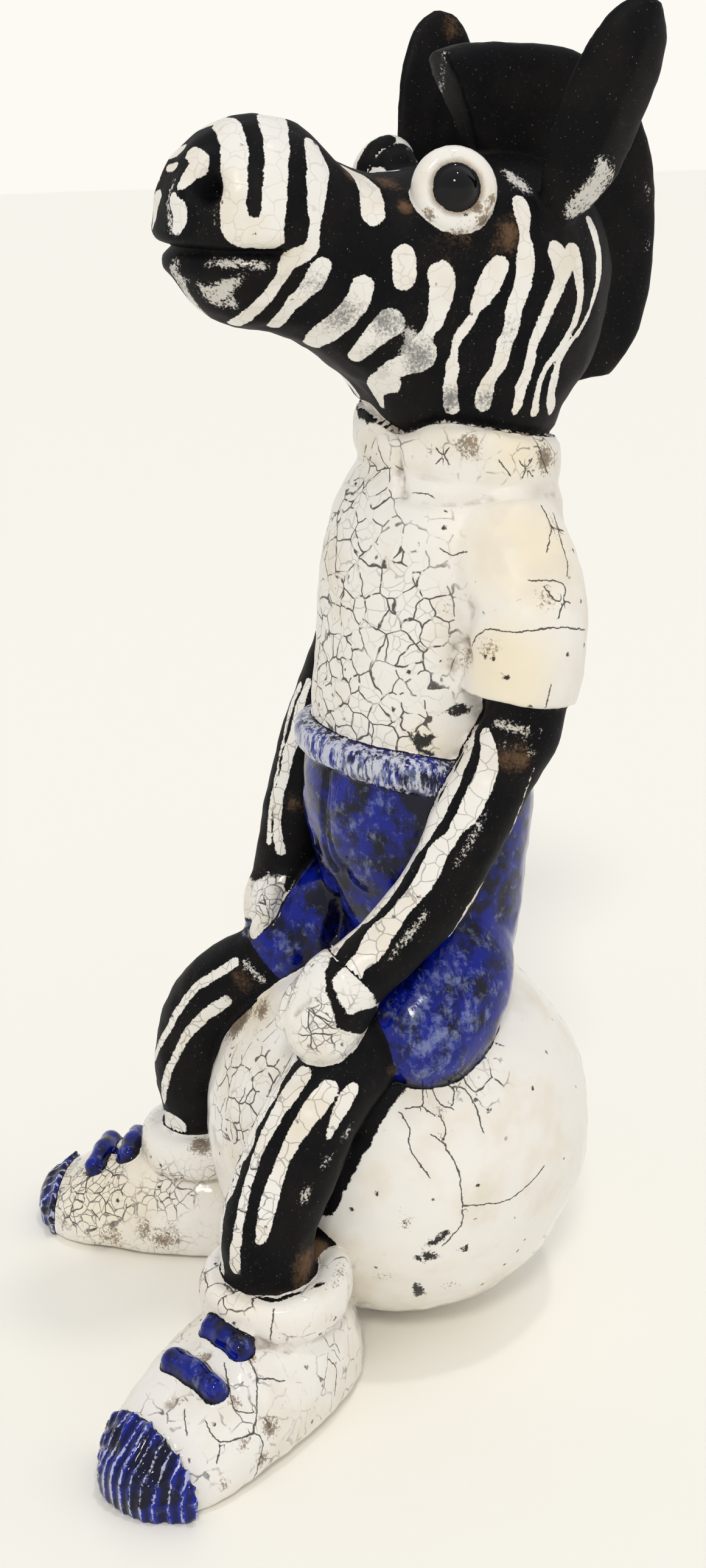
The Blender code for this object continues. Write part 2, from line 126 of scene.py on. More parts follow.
def loft(rings, rows):
    """The points of some rings and the faces of so many rows of them. After the last ring comes the first."""
    count = len(rings[0])
    total = len(rings) * count
    faces = []
    for row in range(rows):
        for k in range(count):
            after = (k + 1) % count
            faces.append((row * count + k, row * count + after,
                          ((row + 1) * count + after) % total, ((row + 1) * count + k) % total))
    return [p for ring in rings for p in ring], faces


def skin(rings):
    """A loft that is closed by its first and its last ring."""
    points, faces = loft(rings, len(rings) - 1)
    count = len(rings[0])
    faces.append(tuple(range(count)))
    faces.append(tuple(range(len(points) - count, len(points))))
    return points, faces


def hoop(rings):
    """A band through rings that come back to the first one."""
    return loft(rings, len(rings))


print("a smooth row has", FINE_STEPS, "samples to a step")

# %% [markdown]
# A potter has few kinds of lump: an egg, a bag with an oval section, a rolled coil and a band. Each kind gets
# its own rings here, so that every part of the figurine is a few lines of real sizes further down.

# %% Eggs, bags, coils and bands
LIMB_DOME_SHARE = 0.9
BAND_EDGE_SQUARENESS = 0.7
BAND_FACE_SQUARENESS = 0.8


def egg(centre, radii, sides, facing=Z_AXIS):
    """An ellipsoid, turned so that its third radius points along facing."""
    turn = facing.to_track_quat("Z", "Y")
    rings = []
    for step in range(1, sides // 2):
        lift = math.pi * step / (sides // 2)
        rings.append([
            Vector(centre) + turn @ Vector((radii[0] * math.sin(lift) * math.cos(a),
                                            radii[1] * math.sin(lift) * math.sin(a),
                                            radii[2] * math.cos(lift)))
            for a in turns(sides)
        ])
    return skin(rings)


def fan_ring(upper, lower, upper_width, lower_width, squareness, sides):
    """An oval that stands on X between an upper and a lower point (y, z) of the side profile."""
    upper = Vector((0, *upper))
    lower = Vector((0, *lower))
    ring = []
    for angle in turns(sides):
        up = signed_power(math.cos(angle), squareness)
        out = signed_power(math.sin(angle), squareness)
        width = lower_width + (upper_width - lower_width) * (up + 1) / 2
        ring.append((upper + lower) / 2 + (upper - lower) / 2 * up + X_AXIS * width * out)
    return ring


def level_rings(rows, sides):
    """Level ovals for the body of the shirt or the shorts."""
    return [
        [Vector((half_width * math.cos(a), y + half_depth * math.sin(a), z)) for a in turns(sides)]
        for y, z, half_width, half_depth in smooth_rows(rows)
    ]


def limb_frames(rows):
    """Along a path of (x, y, z, radius): the middle, the two directions across, and the radius."""
    samples = smooth_rows(rows)
    points = [Vector(s[:3]) for s in samples]
    frames = []
    reference = X_AXIS
    for k, sample in enumerate(samples):
        along = (points[min(k + 1, len(points) - 1)] - points[max(k - 1, 0)]).normalized()
        reference = (reference - along * reference.dot(along)).normalized()
        frames.append((points[k], reference, along.cross(reference), sample[3]))
    return frames


def limb_rings(rows, sides, dome_start=False, dome_end=True, swell=None):
    """Round rings square to a path. An end is a dome, or flat where it is a hem."""
    frames = limb_frames(rows)
    rings = []
    for k, (middle, side, other, radius) in enumerate(frames):
        if swell:
            radius *= swell(k / (len(frames) - 1))
        rings.append([middle + (side * math.cos(a) + other * math.sin(a)) * radius for a in turns(sides)])
    start = (frames[0][0] - frames[1][0]).normalized()
    end = (frames[-1][0] - frames[-2][0]).normalized()
    first = rounded_end(rings[0], start, frames[0][3] * LIMB_DOME_SHARE) if dome_start else []
    last = rounded_end(rings[-1], end, frames[-1][3] * LIMB_DOME_SHARE) if dome_end else []
    return [*reversed(first), *rings, *last]


def band_rings(centre, radii, half_thickness, half_height, lean, sides, profile, lift=None):
    """Profiles round an oval: a collar, a waistband or a cuff. It leans down towards +Y."""
    slope = math.tan(math.radians(lean))
    rings = []
    for around in turns(sides):
        outward = Vector((math.sin(around), -math.cos(around), 0))
        middle = Vector((radii[0] * outward.x, radii[1] * outward.y, 0))
        middle.z = -slope * middle.y
        dip = lift(math.degrees(around)) if lift else 0
        ring = []
        for angle in turns(profile):
            rise = signed_power(math.sin(angle), BAND_EDGE_SQUARENESS) * half_height
            reach = signed_power(math.cos(angle), BAND_FACE_SQUARENESS) * half_thickness
            rise += dip * (rise + half_height) / (2 * half_height)
            ring.append(Vector(centre) + middle + outward * reach + Z_AXIS * rise)
        rings.append(ring)
    return rings


forms = {}


def press(name, finish, form):
    """Adds a form of clay under its name, with the finish that it gets in the kiln."""
    forms[name] = (finish, *form)


print("four kinds of lump can be pressed")

# %% [markdown]
# The ball is thrown or pressed as two bowls and joined. It is the steadiest form, so it is a plain ellipsoid,
# a little taller than it is wide. Its foot is pressed flat later, together with the soles.

# %% The ball
BALL_RADIUS = 80
BALL_HALF_HEIGHT = 82
BALL_CENTRE = (0, 0, 79)
BALL_SIDES = 120
press("ball", "white", egg(BALL_CENTRE, (BALL_RADIUS, BALL_RADIUS, BALL_HALF_HEIGHT), BALL_SIDES))
print("the ball is", 2 * BALL_RADIUS, "mm across")

# %% [markdown]
# The head is one bag of clay from the neck to the muzzle. Stations along it fan out from the throat: each
# gives the point above, the point below and the width. Sculpting would be freer, but stations keep the long
# cheek and the dished bridge where the side view shows them.

# %% Head and mane
MUZZLE_DOME = 34
HEAD = [
    (-60, 484, -60, 410, 33, 1),
    (-46, 481, -47, 406, 33, 1),
    (-32, 469, -36, 400, 32, 0.9),
    (-15, 463, -27, 393, 34, 0.8),
    (6, 464, -20, 388, 37, 0.75),
    (38, 468, -16, 382, 39, 0.8),
    (68, 456, -15, 376, 40, 0.9),
    (83, 430, -13, 370, 39, 1),
    (78, 400, -10, 364, 36, 1),
    (62, 376, -8, 358, 33, 1),
    (60, 345, -8, 343, 32, 1),
]
HEAD_SIDES = 72
MANE = [
    (12, 503, 30, 462, 12, 5),
    (24, 506, 34, 462, 11, 6),
    (47, 507, 46, 460, 9, 6),
    (72, 501, 58, 455, 8, 7),
    (96, 484, 68, 446, 7, 7),
    (106, 455, 74, 432, 6, 7),
    (106, 425, 74, 415, 6, 7),
    (101, 400, 70, 398, 5, 6),
    (90, 384, 60, 382, 4, 6),
]
MANE_SQUARENESS = 0.6
MANE_SIDES = 40

skull = [fan_ring(row[0:2], row[2:4], row[4], row[4], row[5], HEAD_SIDES) for row in smooth_rows(HEAD)]
muzzle = rounded_end(skull[0], FORWARD, MUZZLE_DOME, 3 * ROUND_STEPS)
press("head", "black", skin([*reversed(muzzle), *skull]))
crest = [fan_ring(row[0:2], row[2:4], row[4], row[5], MANE_SQUARENESS, MANE_SIDES)
         for row in smooth_rows(MANE)]
press("mane", "black", skin(crest))
print("the head has", len(skull) + len(muzzle), "rings, the mane", len(crest))

# %% [markdown]
# Ears are flat leaves of clay, folded a little along the middle and stuck on by the root. Eyes are a seat,
# a ring of rolled clay and a ball pressed into it. Both eyes look out, slightly forward and slightly up.

# %% Ears and eyes
EARS = {LEFT: ((31, 45, 446), (51, 68, 522)), RIGHT: ((-35, 28, 446), (-52, 43, 517))}
EAR_HALF_WIDTH = 17
EAR_HALF_THICKNESS = 5
EAR_FOLD = 4
EAR_BLUNTNESS = 2.6
EAR_RIM_SHARE = 0.5
EAR_STEPS = 36
EAR_SIDES = 40
EYES = {LEFT: (31, 3, 458), RIGHT: (-30, 6, 459)}
EYE_FACING_AZIMUTH = 72
EYE_FACING_LIFT = 15
EYE_RING_RADIUS = 10.5
EYE_RING_TUBE = 5
EYE_BALL_RADIUS = 8.5
EYE_BALL_PROUD = 1
EYE_SEAT_RADII = (13, 13, 9)
EYE_SEAT_DEPTH = 6
EYE_SIDES = 48


def ear_rings(side):
    """A leaf with a soft fold down its middle, its hollow turned towards the mane."""
    root, tip = (Vector(p) for p in EARS[side])
    length = (tip - root).length
    along = (tip - root).normalized()
    across = along.cross(X_AXIS * side).normalized()
    outward = across.cross(along).normalized()
    if outward.x * side < 0:
        outward = -outward
    rings = []
    for step in range(1, EAR_STEPS):
        share = step / EAR_STEPS
        arch = math.sqrt(1 - abs(2 * share - 1) ** EAR_BLUNTNESS)
        ring = []
        for angle in turns(EAR_SIDES):
            reach = math.cos(angle)
            fold = EAR_FOLD * (1 - abs(reach)) * arch
            thick = EAR_HALF_THICKNESS * math.sin(angle) * (EAR_RIM_SHARE + (1 - EAR_RIM_SHARE) * arch)
            ring.append(root + along * length * share + across * EAR_HALF_WIDTH * arch * reach
                        + outward * (thick + fold))
        rings.append(ring)
    end = length / EAR_STEPS
    return [*reversed(rounded_end(rings[0], -along, end, 2)), *rings, *rounded_end(rings[-1], along, end, 2)]


def eye_facing(side):
    """The way an eye looks."""
    azimuth = math.radians(EYE_FACING_AZIMUTH)
    lift = math.radians(EYE_FACING_LIFT)
    level = Vector((side * math.sin(azimuth), -math.cos(azimuth), 0))
    return level * math.cos(lift) + Z_AXIS * math.sin(lift)


def eye_ring_rings(centre, facing):
    side = facing.cross(Z_AXIS).normalized()
    up = side.cross(facing)
    rings = []
    for around in turns(EYE_SIDES):
        outward = side * math.cos(around) + up * math.sin(around)
        middle = centre + outward * EYE_RING_RADIUS
        rings.append([middle + (outward * math.cos(a) + facing * math.sin(a)) * EYE_RING_TUBE
                      for a in turns(EYE_SIDES // 2)])
    return rings


for side, label in SIDES:
    facing = eye_facing(side)
    eye = Vector(EYES[side])
    press(f"ear_{label}", "black", skin(ear_rings(side)))
    press(f"eye_seat_{label}", "black", egg(eye - facing * EYE_SEAT_DEPTH, EYE_SEAT_RADII, EYE_SIDES, facing))
    press(f"eye_ring_{label}", "white", hoop(eye_ring_rings(eye, facing)))
    ball = egg(eye + facing * EYE_BALL_PROUD, (EYE_BALL_RADIUS,) * 3, EYE_SIDES, facing)
    press(f"eye_{label}", "gloss", ball)
print("each eye ring is", 2 * (EYE_RING_RADIUS + EYE_RING_TUBE), "mm across")

# %% [markdown]
# The shirt is a tube of clay with short sleeves let into it and a thick rolled collar laid round the neck,
# whose ends meet in a dip on the front left. The shorts are a second tube with a rolled waistband, and each
# leg of theirs is a wide cone that is pressed down on to the ball.

# %% Shirt and shorts
SHIRT = [
    (9, 238, 43, 41),
    (10, 262, 45, 44),
    (14, 290, 47, 46),
    (17, 320, 47, 46),
    (20, 342, 43, 44),
    (22, 358, 36, 36),
    (23, 368, 31, 31),
]
COLLAR_CENTRE = (0, 23, 361)
COLLAR_RADII = (34, 34)
COLLAR_HALF_HEIGHT = 11
COLLAR_HALF_THICKNESS = 6
COLLAR_LEAN = 12
COLLAR_NOTCH_AZIMUTH = 25
COLLAR_NOTCH_DEPTH = 8
COLLAR_NOTCH_SPREAD = 18
SLEEVES = {
    LEFT: [(18, 22, 336, 22), (36, 24, 326, 25), (48, 24, 308, 25),
           (53, 23, 290, 23.5), (54, 21, 277, 21.5)],
    RIGHT: [(-18, 20, 338, 21), (-34, 20, 334, 22), (-45, 18, 324, 21), (-50, 16, 311, 20)],
}
SHORTS = [
    (9, 249, 45, 43),
    (8, 238, 48, 45),
    (8, 218, 48, 45),
    (9, 195, 48, 41),
    (11, 170, 46, 35),
    (12, 148, 44, 30),
    (12, 132, 38, 25),
]
SHORTS_LEGS = {
    LEFT: [(12, 8, 176, 30), (30, 1, 161, 31), (41, -8, 150, 29), (45, -15, 144, 27)],
    RIGHT: [(-14, 10, 174, 30), (-26, -8, 161, 30), (-32, -24, 153, 26), (-34, -33, 149, 23)],
}
WAISTBAND_CENTRE = (0, 8, 243)
WAISTBAND_RADII = (46, 44)
WAISTBAND_HALF_HEIGHT = 6.5
WAISTBAND_HALF_THICKNESS = 5
WAISTBAND_LEAN = 9
BODY_SIDES = 96
LIMB_SIDES = 48


def collar_dip(azimuth):
    """The V where the two ends of the collar meet, on the front left."""
    away = (azimuth - COLLAR_NOTCH_AZIMUTH + 180) % 360 - 180
    return -COLLAR_NOTCH_DEPTH * math.exp(-((away / COLLAR_NOTCH_SPREAD) ** 2))


collar = band_rings(COLLAR_CENTRE, COLLAR_RADII, COLLAR_HALF_THICKNESS, COLLAR_HALF_HEIGHT, COLLAR_LEAN,
                    BODY_SIDES, LIMB_SIDES, collar_dip)
waistband = band_rings(WAISTBAND_CENTRE, WAISTBAND_RADII, WAISTBAND_HALF_THICKNESS, WAISTBAND_HALF_HEIGHT,
                       WAISTBAND_LEAN, BODY_SIDES, LIMB_SIDES // 2)
press("shirt", "white", skin(level_rings(SHIRT, BODY_SIDES)))
press("collar", "white", hoop(collar))
press("shorts", "blue", skin(level_rings(SHORTS, BODY_SIDES)))
press("waistband", "blue", hoop(waistband))
for side, label in SIDES:
    press(f"sleeve_{label}", "white", skin(limb_rings(SLEEVES[side], LIMB_SIDES, dome_end=False)))
    press(f"shorts_leg_{label}", "blue", skin(limb_rings(SHORTS_LEGS[side], LIMB_SIDES)))
print("shirt and shorts reach from", SHORTS[-1][1], "to", COLLAR_CENTRE[2] + COLLAR_HALF_HEIGHT, "mm up")

# %% [markdown]
# Arms and legs are rolled coils, bent while soft. Hands are lumps squeezed on to the wrist, with a small coil
# for the thumb. A lump of clay behind each ankle ties the leg to the ball.

# %% Arms, hands and legs
ARMS = {
    LEFT: [(57, 23, 282, 15), (57, 21, 266, 15), (56, 11, 249, 15), (57, 0, 230, 15),
           (56, -13, 206, 14.5), (54, -27, 189, 14), (52, -42, 177, 13.5), (51, -50, 170, 14)],
    RIGHT: [(-49, 17, 322, 15), (-52, 12, 296, 15), (-56, 4, 268, 15), (-57, -6, 246, 14.5),
            (-54, -17, 220, 14), (-49, -26, 196, 13.5), (-44, -33, 174, 13)],
}
HANDS = {
    LEFT: [(52, -46, 176, 14), (51, -54, 166, 16), (50, -59, 154, 15)],
    RIGHT: [(-44, -33, 178, 12.5), (-41, -37, 167, 14.5), (-39, -38, 157, 13.5)],
}
THUMBS = {
    LEFT: [(42, -56, 172, 5), (39, -63, 164, 5.5), (40, -69, 155, 5)],
    RIGHT: [(-33, -42, 176, 4.5), (-30, -47, 168, 5), (-31, -49, 160, 4.5)],
}
LEGS = {
    LEFT: [(35, -18, 145, 18), (44, -41, 140, 18), (51, -61, 124, 18), (53, -74, 101, 18.5),
           (53, -83, 80, 18.5), (52, -83, 58, 18), (52, -80, 28, 21)],
    RIGHT: [(-24, -20, 148, 18), (-36, -44, 142, 18), (-50, -57, 127, 18.5), (-60, -64, 106, 19),
            (-65, -65, 84, 18.5), (-69, -60, 58, 18), (-70, -58, 28, 21)],
}
ANKLE_LUMPS = {LEFT: ((42, -60, 52), (15, 13, 15)), RIGHT: ((-54, -48, 52), (15, 13, 15))}
for side, label in SIDES:
    press(f"arm_{label}", "black", skin(limb_rings(ARMS[side], LIMB_SIDES)))
    press(f"leg_{label}", "black", skin(limb_rings(LEGS[side], LIMB_SIDES)))
    press(f"ankle_lump_{label}", "black", egg(*ANKLE_LUMPS[side], LIMB_SIDES))
    press(f"hand_{label}", "white", skin(limb_rings(HANDS[side], LIMB_SIDES)))
    press(f"thumb_{label}", "white", skin(limb_rings(THUMBS[side], LIMB_SIDES // 2, dome_start=True)))
print("a leg is", 2 * LEGS[LEFT][2][3], "mm thick")

# %% [markdown]
# A shoe is a hollow lump with a nearly flat sole, a rolled cuff, a ribbed toe cap and two short coils for
# laces. Both shoes come from one set of sizes. The right one is shorter and turned out further, because the
# two were made by eye.

# %% Shoes
SHOES = {LEFT: ((52, -80), 28, 1), RIGHT: ((-70, -58), 38, 0.84)}
FOOT = [
    (-36, 16, 28),
    (-20, 27, 43),
    (4, 32, 47),
    (28, 33, 42),
    (52, 31, 35),
    (70, 27, 28),
    (81, 20, 22),
    (87, 12, 17),
]
FOOT_WIDEST_SHARE = 0.3
FOOT_END = 4
UPPER_SQUARENESS = 0.85
SOLE_SQUARENESS = 0.6
SOLE_OVERCUT = 3
UPPER_SIDES = 60
SOLE_SIDES = 30
CUFF_RADII = (23, 23)
CUFF_Z = 49
CUFF_HALF_HEIGHT = 10
CUFF_HALF_THICKNESS = 7
CUFF_LEAN = -6
TOE_CAP_STARTS = {LEFT: 74, RIGHT: 80}
TOE_CAP_SLACK = 0.1
TOE_CAP_OVERCUT = 5
TOE_CAP_THICKNESS = 2.5
TOE_RIDGES = 11
TOE_RIDGE_HEIGHT = 2.4
LACE_PLACES = {LEFT: (31, 50), RIGHT: (43, 60)}
LACE_HALF_LENGTHS = (9, 12)
LACE_RADIUS = 4.7
LACE_SKEW = {LEFT: 0.2, RIGHT: 0}
LACE_LIFT = 1
LACE_BULGE = 0.07


def foot_ring(row, upper_sides, grow=0, ridges=0):
    """A shoe's section: a round upper over a nearly flat sole. Ridges run over its upper side."""
    along, half_width, height = row
    widest = height * FOOT_WIDEST_SHARE
    ring = []
    upper_angles = [math.pi * k / upper_sides for k in range(upper_sides)]
    sole_angles = [math.pi * (1 + k / SOLE_SIDES) for k in range(SOLE_SIDES)]
    for angle in upper_angles + sole_angles:
        across = signed_power(math.cos(angle), UPPER_SQUARENESS)
        up = math.sin(angle)
        swell = grow
        if ridges and up > 0:
            swell += TOE_RIDGE_HEIGHT * (1 - math.cos(2 * ridges * angle)) / 2
        if up > 0:
            z = widest + (height - widest + swell) * up
        else:
            overcut = TOE_CAP_OVERCUT if grow else SOLE_OVERCUT
            z = widest + (widest + overcut) * signed_power(up, SOLE_SQUARENESS)
        ring.append(Vector(((half_width + swell) * across, -along, z)))
    return ring


def foot_height(along, across):
    """The height of the shoe's upper over a point of its plan."""
    row = min(smooth_rows(FOOT, ROUND_STEPS), key=lambda r: abs(r[0] - along))
    widest = row[2] * FOOT_WIDEST_SHARE
    share = min(1, abs(across) / row[1])
    return widest + (row[2] - widest) * math.sqrt(1 - share ** (2 / UPPER_SQUARENESS))


def lace_bulge(share):
    """A lace is thicker at its ends and in its middle, where it was pressed on."""
    return 1 + LACE_BULGE * math.cos(4 * math.pi * share)


def on_ankle(side, form):
    """Moves a form from the ankle's own frame to its place on the floor."""
    (x, y), turn_out, _ = SHOES[side]
    place = Matrix.Translation((x, y, 0)) @ Matrix.Rotation(math.radians(turn_out) * side, 4, "Z")
    return [place @ p for p in form[0]], form[1]


def toe_cap(side, rows):
    """The rings of a toe cap, slanted like its laces."""
    rings = [foot_ring(row, 8 * TOE_RIDGES, TOE_CAP_THICKNESS, TOE_RIDGES) for row in rows]
    for number, ring in enumerate(rings):
        fade = 1 - number / (len(rings) - 1)
        for p in ring:
            p.y -= LACE_SKEW[side] * fade * p.x
    return rings + rounded_end(rings[-1], FORWARD, FOOT_END + TOE_CAP_THICKNESS)


for side, label in SIDES:
    length = SHOES[side][2]
    rows = smooth_rows([(along * length, half_width, height) for along, half_width, height in FOOT])
    foot = [foot_ring(row, UPPER_SIDES) for row in rows]
    heel = rounded_end(foot[0], -FORWARD, FOOT_END)
    toe = rounded_end(foot[-1], FORWARD, FOOT_END)
    shoe = skin([*reversed(heel), *foot, *toe])
    cuff = hoop(band_rings((0, 0, CUFF_Z), CUFF_RADII, CUFF_HALF_THICKNESS, CUFF_HALF_HEIGHT, CUFF_LEAN,
                           BODY_SIDES, LIMB_SIDES // 2))
    cap_start = TOE_CAP_STARTS[side] * length - TOE_CAP_SLACK
    ribs = toe_cap(side, [row for row in rows if row[0] >= cap_start])
    press(f"shoe_{label}", "white", on_ankle(side, shoe))
    press(f"cuff_{label}", "white", on_ankle(side, cuff))
    press(f"toe_cap_{label}", "blue", on_ankle(side, skin(ribs)))
    for number, (along, reach) in enumerate(zip(LACE_PLACES[side], LACE_HALF_LENGTHS), 1):
        lace = [(share * reach, -along * length - LACE_SKEW[side] * share * reach,
                 foot_height(along, share * reach) + LACE_LIFT, LACE_RADIUS) for share in (-1, 0, 1)]
        coil = skin(limb_rings(lace, LIMB_SIDES // 2, dome_start=True, swell=lace_bulge))
        press(f"lace_{label}_{number}", "blue", on_ankle(side, coil))
print(len(forms), "forms:", ", ".join(forms))

# %% [markdown]
# Now the forms are melted into one skin, because the real clay has no gaps between them. A Boolean union
# would keep knife-sharp seams and long thin faces. A voxel remesh gives even small faces, so that a wet
# finger can be run along the seams afterwards: each point moves towards its neighbours where the skin is
# hollow, which leaves a soft fillet and touches nothing else.

# %% One skin
VOXEL = 1.2
SEAM_PASSES = 12
EVEN_PASSES = 2
EVEN_SHARE = 0.5
SEAM_START = 0.06
SEAM_FULL = 0.3
SEAM_SHARE = 0.6
FAR = 30


def merged(names):
    """The points and the faces of the forms with these names, and the form of each face."""
    points, faces, owners = [], [], []
    for name in names:
        _, form_points, form_faces = forms[name]
        faces += [tuple(i + len(points) for i in face) for face in form_faces]
        points += form_points
        owners += [name] * len(form_faces)
    return points, faces, owners


def mesh_from(name, points, faces):
    mesh = bpy.data.meshes.new(name)
    mesh.from_pydata([tuple(p) for p in points], [], faces)
    builder = bmesh.new()
    builder.from_mesh(mesh)
    bmesh.ops.recalc_face_normals(builder, faces=builder.faces)
    builder.to_mesh(mesh)
    builder.free()
    return mesh


def through_modifier(mesh, kind, weights=None, **settings):
    """The mesh that one modifier makes of this mesh. Weights say how much it may change each point."""
    carrier = bpy.data.objects.new("carrier", mesh)
    bpy.context.scene.collection.objects.link(carrier)
    if weights is not None:
        group = carrier.vertex_groups.new(name=settings["vertex_group"])
        for weight in np.unique(weights):
            group.add(np.nonzero(weights == weight)[0].tolist(), weight, "REPLACE")
    modifier = carrier.modifiers.new(kind, kind)
    for key, value in settings.items():
        setattr(modifier, key, value)
    made = bpy.data.meshes.new_from_object(carrier.evaluated_get(bpy.context.evaluated_depsgraph_get()))
    bpy.data.objects.remove(carrier)
    return made


def read(collection, key, width, kind=np.float32):
    """One property of all points or edges of a mesh, as rows of this width."""
    values = np.empty(len(collection) * width, kind)
    collection.foreach_get(key, values)
    return values.reshape(-1, width)


class Skin:
    """The points, the edges and the outward directions of a mesh, as arrays."""

    def __init__(self, mesh):
        self.mesh = mesh
        self.place = read(mesh.vertices, "co", 3).astype(float)
        self.edges = read(mesh.edges, "vertices", 2, np.int32)
        self.count = len(self.place)
        self.degree = np.bincount(self.edges.ravel(), minlength=self.count).clip(1)

    def average(self, values):
        """Each point's neighbours, averaged."""
        columns = values.reshape(self.count, -1)
        a, b = self.edges.T
        sums = [np.bincount(a, columns[b, k], self.count) + np.bincount(b, columns[a, k], self.count)
                for k in range(columns.shape[1])]
        return (np.stack(sums, 1) / self.degree[:, None]).reshape(values.shape)

    def store(self):
        self.mesh.vertices.foreach_set("co", self.place.astype(np.float32).ravel())
        self.mesh.update()

    def outward(self):
        self.store()
        return read(self.mesh.vertices, "normal", 3).astype(float)

    def hollow(self, passes=1):
        """How far each point lies below its neighbours, in millimetres: above 0 in creases."""
        depth = ((self.average(self.place) - self.place) * self.outward()).sum(1)
        for _ in range(passes):
            depth = (depth + self.average(depth)) / 2
        return depth


def smoothstep(values, low, high):
    t = np.clip((values - low) / (high - low), 0, 1)
    return t * t * (3 - 2 * t)


def tree_of(names):
    return BVHTree.FromPolygons(*merged(names)[:2])


def owners_of(places):
    """The form that each place lies on."""
    points, faces, owners = merged(forms)
    tree = BVHTree.FromPolygons(points, faces)
    return np.array([owners[tree.find_nearest(Vector(p))[2]] for p in places])


def from_tree(tree, places, most=FAR):
    """How far each place lies from the skin of some forms, in millimetres."""
    found = (tree.find_nearest(Vector(p), most)[3] for p in places)
    return np.array([most if gap is None else gap for gap in found])


def bell(distance, half_width):
    return np.exp(-((distance / half_width) ** 2))


rough = mesh_from("forms", *merged(forms)[:2])
fused = through_modifier(rough, "REMESH", mode="VOXEL", voxel_size=VOXEL, adaptivity=0)
clay = Skin(fused)
for _ in range(EVEN_PASSES):
    clay.place += (clay.average(clay.place) - clay.place) * EVEN_SHARE
clay.form = owners_of(clay.place)
ribbed = clay.form == "toe_cap_left"
for _ in range(SEAM_PASSES):
    wet = smoothstep(clay.hollow(), SEAM_START, SEAM_FULL) * ~ribbed
    wet = np.maximum(wet, clay.average(wet))
    clay.place += (clay.average(clay.place) - clay.place) * wet[:, None] * SEAM_SHARE
print("one skin of", clay.count, "points")

# %% [markdown]
# A brush follows the surface, and so does a modelling tool. Each stroke is a row of points on the photograph,
# with the width there. The row is smoothed and sent along the camera's rays to the form that
# was worked on. Where the form turns away from the camera, the width grows, because it was seen at a slant.

# %% Strokes on clay
MIDDLE = Vector((0, 0, 260))
STROKE_STEPS = 4
LEAST_SLANT = 0.4
SLANT_SHARE = 0.35
camera_turn = camera.rotation_euler.to_matrix()
camera_mm = CAMERA_PLACE / MM
lens_axis = camera_turn @ Vector((0, 0, -1))


def land(u, v, tree, depth):
    """Where a pixel of the photograph lies on the forms of a tree, and how squarely it is seen there."""
    across = (u - PHOTO_WIDTH / 2) / FOCAL_PIXELS
    up = (PHOTO_HEIGHT / 2 - v) / FOCAL_PIXELS
    ray = camera_turn @ Vector((across, up, -1))
    place, normal, *_ = tree.ray_cast(camera_mm, ray)
    if not place:
        place, normal, *_ = tree.find_nearest(camera_mm + ray * depth)
    return place, abs(normal.dot(ray.normalized()))


def pixel_size(place):
    """How many millimetres a pixel covers at this place."""
    return (place - camera_mm).dot(lens_axis) / FOCAL_PIXELS


def on_clay(row, names, tree=None):
    """A row of (u, v) or (u, v, width) in the photograph, as places on the clay with a radius in mm."""
    tree = tree or tree_of(names)
    middle = Vector(np.mean([p for name in names for p in forms[name][1]], axis=0))
    depth = (middle - camera_mm).dot(lens_axis)
    placed = []
    for u, v, *width in smooth_rows([list(p) for p in row], STROKE_STEPS):
        place, slant = land(u, v, tree, depth)
        radius = (width[0] if width else 0) / 2 * pixel_size(place) / max(slant, LEAST_SLANT) ** SLANT_SHARE
        placed.append((*place, radius))
    return placed


def painted(strokes, names):
    tree = tree_of(names)
    return [on_clay(row, names, tree) for row in strokes]


def inside(rows, names, surface):
    """How far inside the nearest of some strokes each point of a skin lies, below 0 outside them."""
    mine = np.isin(surface.form, names)
    places = surface.place[mine]
    best = np.full(len(places), -float(FAR))
    for row in rows:
        row = np.array(row)
        for start, end in zip(row, row[1:]):
            along = end[:3] - start[:3]
            share = ((places - start[:3]) @ along / max(along @ along, 1e-6)).clip(0, 1)
            gap = np.linalg.norm(places - start[:3] - share[:, None] * along, axis=1)
            best = np.maximum(best, start[3] + (end[3] - start[3]) * share - gap)
    found = np.full(surface.count, -float(FAR))
    found[mine] = best
    return found


print("the brush works at", round(1 / pixel_size(MIDDLE), 1), "pixels to the millimetre")

# %% [markdown]
# What is too small for a lump of clay was cut or pressed in with a tool: the mouth, the nostrils, the front
# seam of the shorts, the fold between their legs, the gap inside the collar and the slit between the laces.
# Each is a push along the skin's own direction, a dent with a soft rim, because that is what a tool leaves in
# wet clay. Fingers left it uneven too, which is a slow noise in the same direction, and a comb was drawn over
# the near toe cap.

# %% Cuts and dents
MOUTH_Z = 439
MOUTH_LOWEST_Z = 409
MOUTH_CORNER_Y = -58
MOUTH_FULL_Y = -65
MOUTH_HALF_WIDTH = 1.9
MOUTH_DEPTH = 4.4
LIP_SWELL = 1.2
LIP_REACH = 6
NOSTRIL_PIXEL = (336, 308)
NOSTRIL_HALF_WIDTH = 5.2
NOSTRIL_DEPTH = 9
NOSTRIL_SWELL = 1.2
NOSTRIL_RIM_SHARE = 1.8
COLLAR_GAP_DEPTH = 2.6
COLLAR_GAP_HALF_WIDTH = 3
COLLAR_GAP_REACH = 9
SHORTS_AND_NEAR_LEG = ("shorts", "shorts_leg_left")
